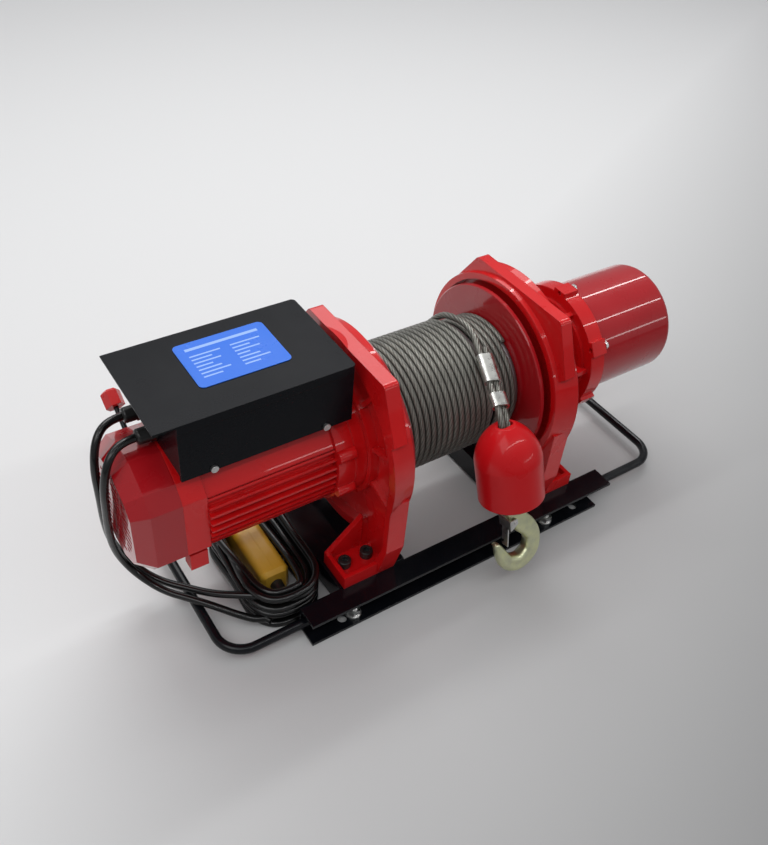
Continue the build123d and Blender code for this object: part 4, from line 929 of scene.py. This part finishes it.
def blue_plate():
    """Blue foil with a title bar and two columns of pale bars."""
    finish, tree, shader = new_finish("blue_plate", plate_blue, roughness=0.3)
    place = add(tree, "ShaderNodeTexCoord")
    parts = add(tree, "ShaderNodeSeparateXYZ")
    tree.links.new(place.outputs["Object"], parts.inputs["Vector"])
    x = share_across(tree, parts.outputs["X"], plate_low.x, plate_high.x)
    y = share_across(tree, parts.outputs["Y"], plate_low.y, plate_high.y)
    left_bars = bar_rows(tree, x, y, start=0.10, ends=(0.26, 0.44))
    right_bars = bar_rows(tree, x, y, start=0.54, ends=(0.66, 0.88))
    columns = number(tree, "MAXIMUM", left_bars, right_bars)
    listed = number(tree, "MULTIPLY", columns, close_to(tree, y, middle=0.42, reach=0.28))
    title = number(tree, "MULTIPLY", close_to(tree, x, middle=0.5, reach=0.40),
                   close_to(tree, y, middle=0.84, reach=0.028))
    bars = number(tree, "MULTIPLY", number(tree, "MAXIMUM", listed, title), bar_strength)
    base_colour(tree, shader, bars, plate_blue, bar_blue)
    roughness_between(tree, shader, 40.0, 0.26, 0.36)
    shader.inputs["Specular IOR Level"].default_value = 0.30
    bump(tree, shader, noise(tree, 30.0, detail=2.0), 0.0002, strength=0.4, soften=0.0004)
    print("made blue_plate", round((plate_high.x - plate_low.x) * 1000), "mm wide")
    return finish


plate_finish = blue_plate()

# %% [markdown]
# Giving each piece its finish. A node from the frame already has a material slot, so the finish is
# put into that slot. A table of finish to pieces is easier to check than a line for each piece.

# %% Finishes onto pieces
finishes = {
    cast_enamel: ["left_bracket", "right_bracket", "gear_housing", "front_shield", "rear_shield",
                  "motor_frame", "drum_tube"],
    weight_enamel: ["weight"],
    shaded_sheet_enamel: ["tail_cowl", "gear_cap", "drum_flanges"],
    # The release lever wears the black enamel as painted shade: it sits in shadow below its knob.
    rail_black: ["front_rail", "rear_rail", "cross_members", "handle_bars", "release_lever"],
    box_black: ["box_cover", "box_base"],
    zinc: ["rail_studs", "cover_screws", "collar_screws", "hook_latch"],
    sleeve_metal: ["rope_ferrules"],
    turned_steel: ["output_shaft", "ring_gear", "first_carrier", "motor_shaft", "drive_shaft",
                   "shaft_coupling", "brake_coil", "brake_disc", "bearings", "first_planet_1",
                   "first_planet_2", "first_planet_3", "second_planet_1", "second_planet_2",
                   "second_planet_3"],
    stacked_steel: ["stator", "rotor"],
    black_plastic: ["cooling_fan", "cable_glands", "mains_plug", "up_button", "down_button",
                    "foot_screws"],
    white_plastic: ["box_electrics"],
    yellow_plastic: ["pendant_front", "pendant_back"],
    red_plastic: ["lever_knob", "stop_button"],
    plate_finish: ["rating_plate"],
}


def wear(piece, finish):
    """Puts one finish on a piece, in place of whatever it had."""
    if len(piece.data.materials):
        piece.data.materials[0] = finish
    else:
        piece.data.materials.append(finish)


for finish, names in finishes.items():
    for name in names:
        wear(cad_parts[name], finish)
for piece, finish in ((power_lead, rubber), (pendant_lead, rubber), (top_layer, wound_finish),
                      (lower_layer, wound_finish), (core, stacked_steel), (rope_tail, tail_finish),
                      (returned_end, tail_finish), (hook_bar, yellow_zinc), (hook_shank, yellow_zinc)):
    wear(piece, finish)
unfinished = [n for n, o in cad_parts.items() if not o.hide_render
              and not any(n in names for names in finishes.values())]
print("pieces without a finish:", unfinished)

# %% [markdown]
# Studio floor. A wide pale sheet whose colour darkens towards the near right as painted shade, so
# the lamps can stay at a plain level and the object's shadow is kept.

# %% Floor
floor_reach = 9.0
floor_pale = (0.70, 0.70, 0.70)
floor_shade_dark = (0.20, 0.20, 0.20)
fade_direction = (0.41, 0.91)
floor_mesh = bpy.data.meshes.new("floor")
floor_corners = [(-floor_reach, -floor_reach, 0), (floor_reach, -floor_reach, 0),
                 (floor_reach, floor_reach, 0), (-floor_reach, floor_reach, 0)]
floor_mesh.from_pydata(floor_corners, [], [(0, 1, 2, 3)])
floor = make_object("floor", floor_mesh)
floor_finish, floor_tree, floor_shader = new_finish("pale_floor", floor_pale, roughness=0.9)
floor_shader.inputs["Specular IOR Level"].default_value = 0.15
floor_place = add(floor_tree, "ShaderNodeTexCoord")
floor_parts = add(floor_tree, "ShaderNodeSeparateXYZ")
floor_tree.links.new(floor_place.outputs["Object"], floor_parts.inputs["Vector"])
rightward = number(floor_tree, "MULTIPLY", floor_parts.outputs["X"], fade_direction[0])
backward = number(floor_tree, "MULTIPLY", floor_parts.outputs["Y"], fade_direction[1])
floor_across = number(floor_tree, "SUBTRACT", rightward, backward)
# Painted shade: the floor's colour fades from pale to dark towards the near right.
floor_painted_shade = between(floor_tree, floor_across, 0.0, 1.0, start=-0.20, end=0.75)
base_colour(floor_tree, floor_shader, floor_painted_shade, floor_pale, floor_shade_dark)
wear(floor, floor_finish)
print("the floor is", 2 * floor_reach, "m wide")

# %% [markdown]
# Sky. It gives the soft light that reaches everything. It is dim, because gloss black is a mirror,
# and under a bright sky it would look grey. It grows a little stronger from the horizon upwards.

# %% Dim sky
world = bpy.data.worlds.new("dim_sky")
world.use_nodes = True
sky = world.node_tree
sky_place = add(sky, "ShaderNodeTexCoord")
sky_parts = add(sky, "ShaderNodeSeparateXYZ")
sky.links.new(sky_place.outputs["Generated"], sky_parts.inputs["Vector"])
sky_light = between(sky, sky_parts.outputs["Z"], 0.30, 0.40, start=0.0, end=0.8)
background = sky.nodes["Background"]
sky.links.new(sky_light, background.inputs["Strength"])
background.inputs["Color"].default_value = (0.96, 0.97, 1.0, 1)
bpy.context.scene.world = world
print("the sky is made")

# %% [markdown]
# Lamps. Gloss paint mirrors its lamps, so their shape matters as much as their strength. Long narrow
# lamps that hang along the winch draw the crisp streaks down its round cap, and two wide ones give
# the castings their form.

# %% Lamps
def lamp(name, place, aim, length, width, power):
    """A flat lamp at a place, turned towards a point, with its length along X as nearly as it can."""
    data = bpy.data.lights.new(name, "AREA")
    data.shape = "RECTANGLE"
    data.size = length
    data.size_y = width
    data.energy = power
    made = bpy.data.objects.new(name, data)
    bpy.context.scene.collection.objects.link(made)
    back = (Vector(place) - Vector(aim)).normalized()
    side = (Vector((1, 0, 0)) - back.x * back).normalized()
    turned = Matrix((side, back.cross(side), back)).transposed()
    made.matrix_world = Matrix.Translation(place) @ turned.to_4x4()
    print(name, power, "watts")


lamp("long_back_lamp", (0.60, 0.95, 2.05), (0.60, 0.1, 0.2), length=4.0, width=0.11, power=19)
lamp("long_front_lamp", (0.60, -1.20, 2.05), (0.60, -0.1, 0.2), length=4.0, width=0.09, power=13)
lamp("low_front_lamp", (1.50, -2.10, 0.78), (0.5, 0, 0.2), length=2.0, width=0.10, power=3)
lamp("wide_back_lamp", (0.30, 1.50, 2.60), (0, 0, 0.2), length=2.2, width=2.0, power=34)
lamp("wide_left_lamp", (-1.80, -0.6, 2.5), (-0.1, 0, 0.2), length=1.6, width=1.6, power=16)
bpy.context.scene.view_settings.view_transform = "Standard"
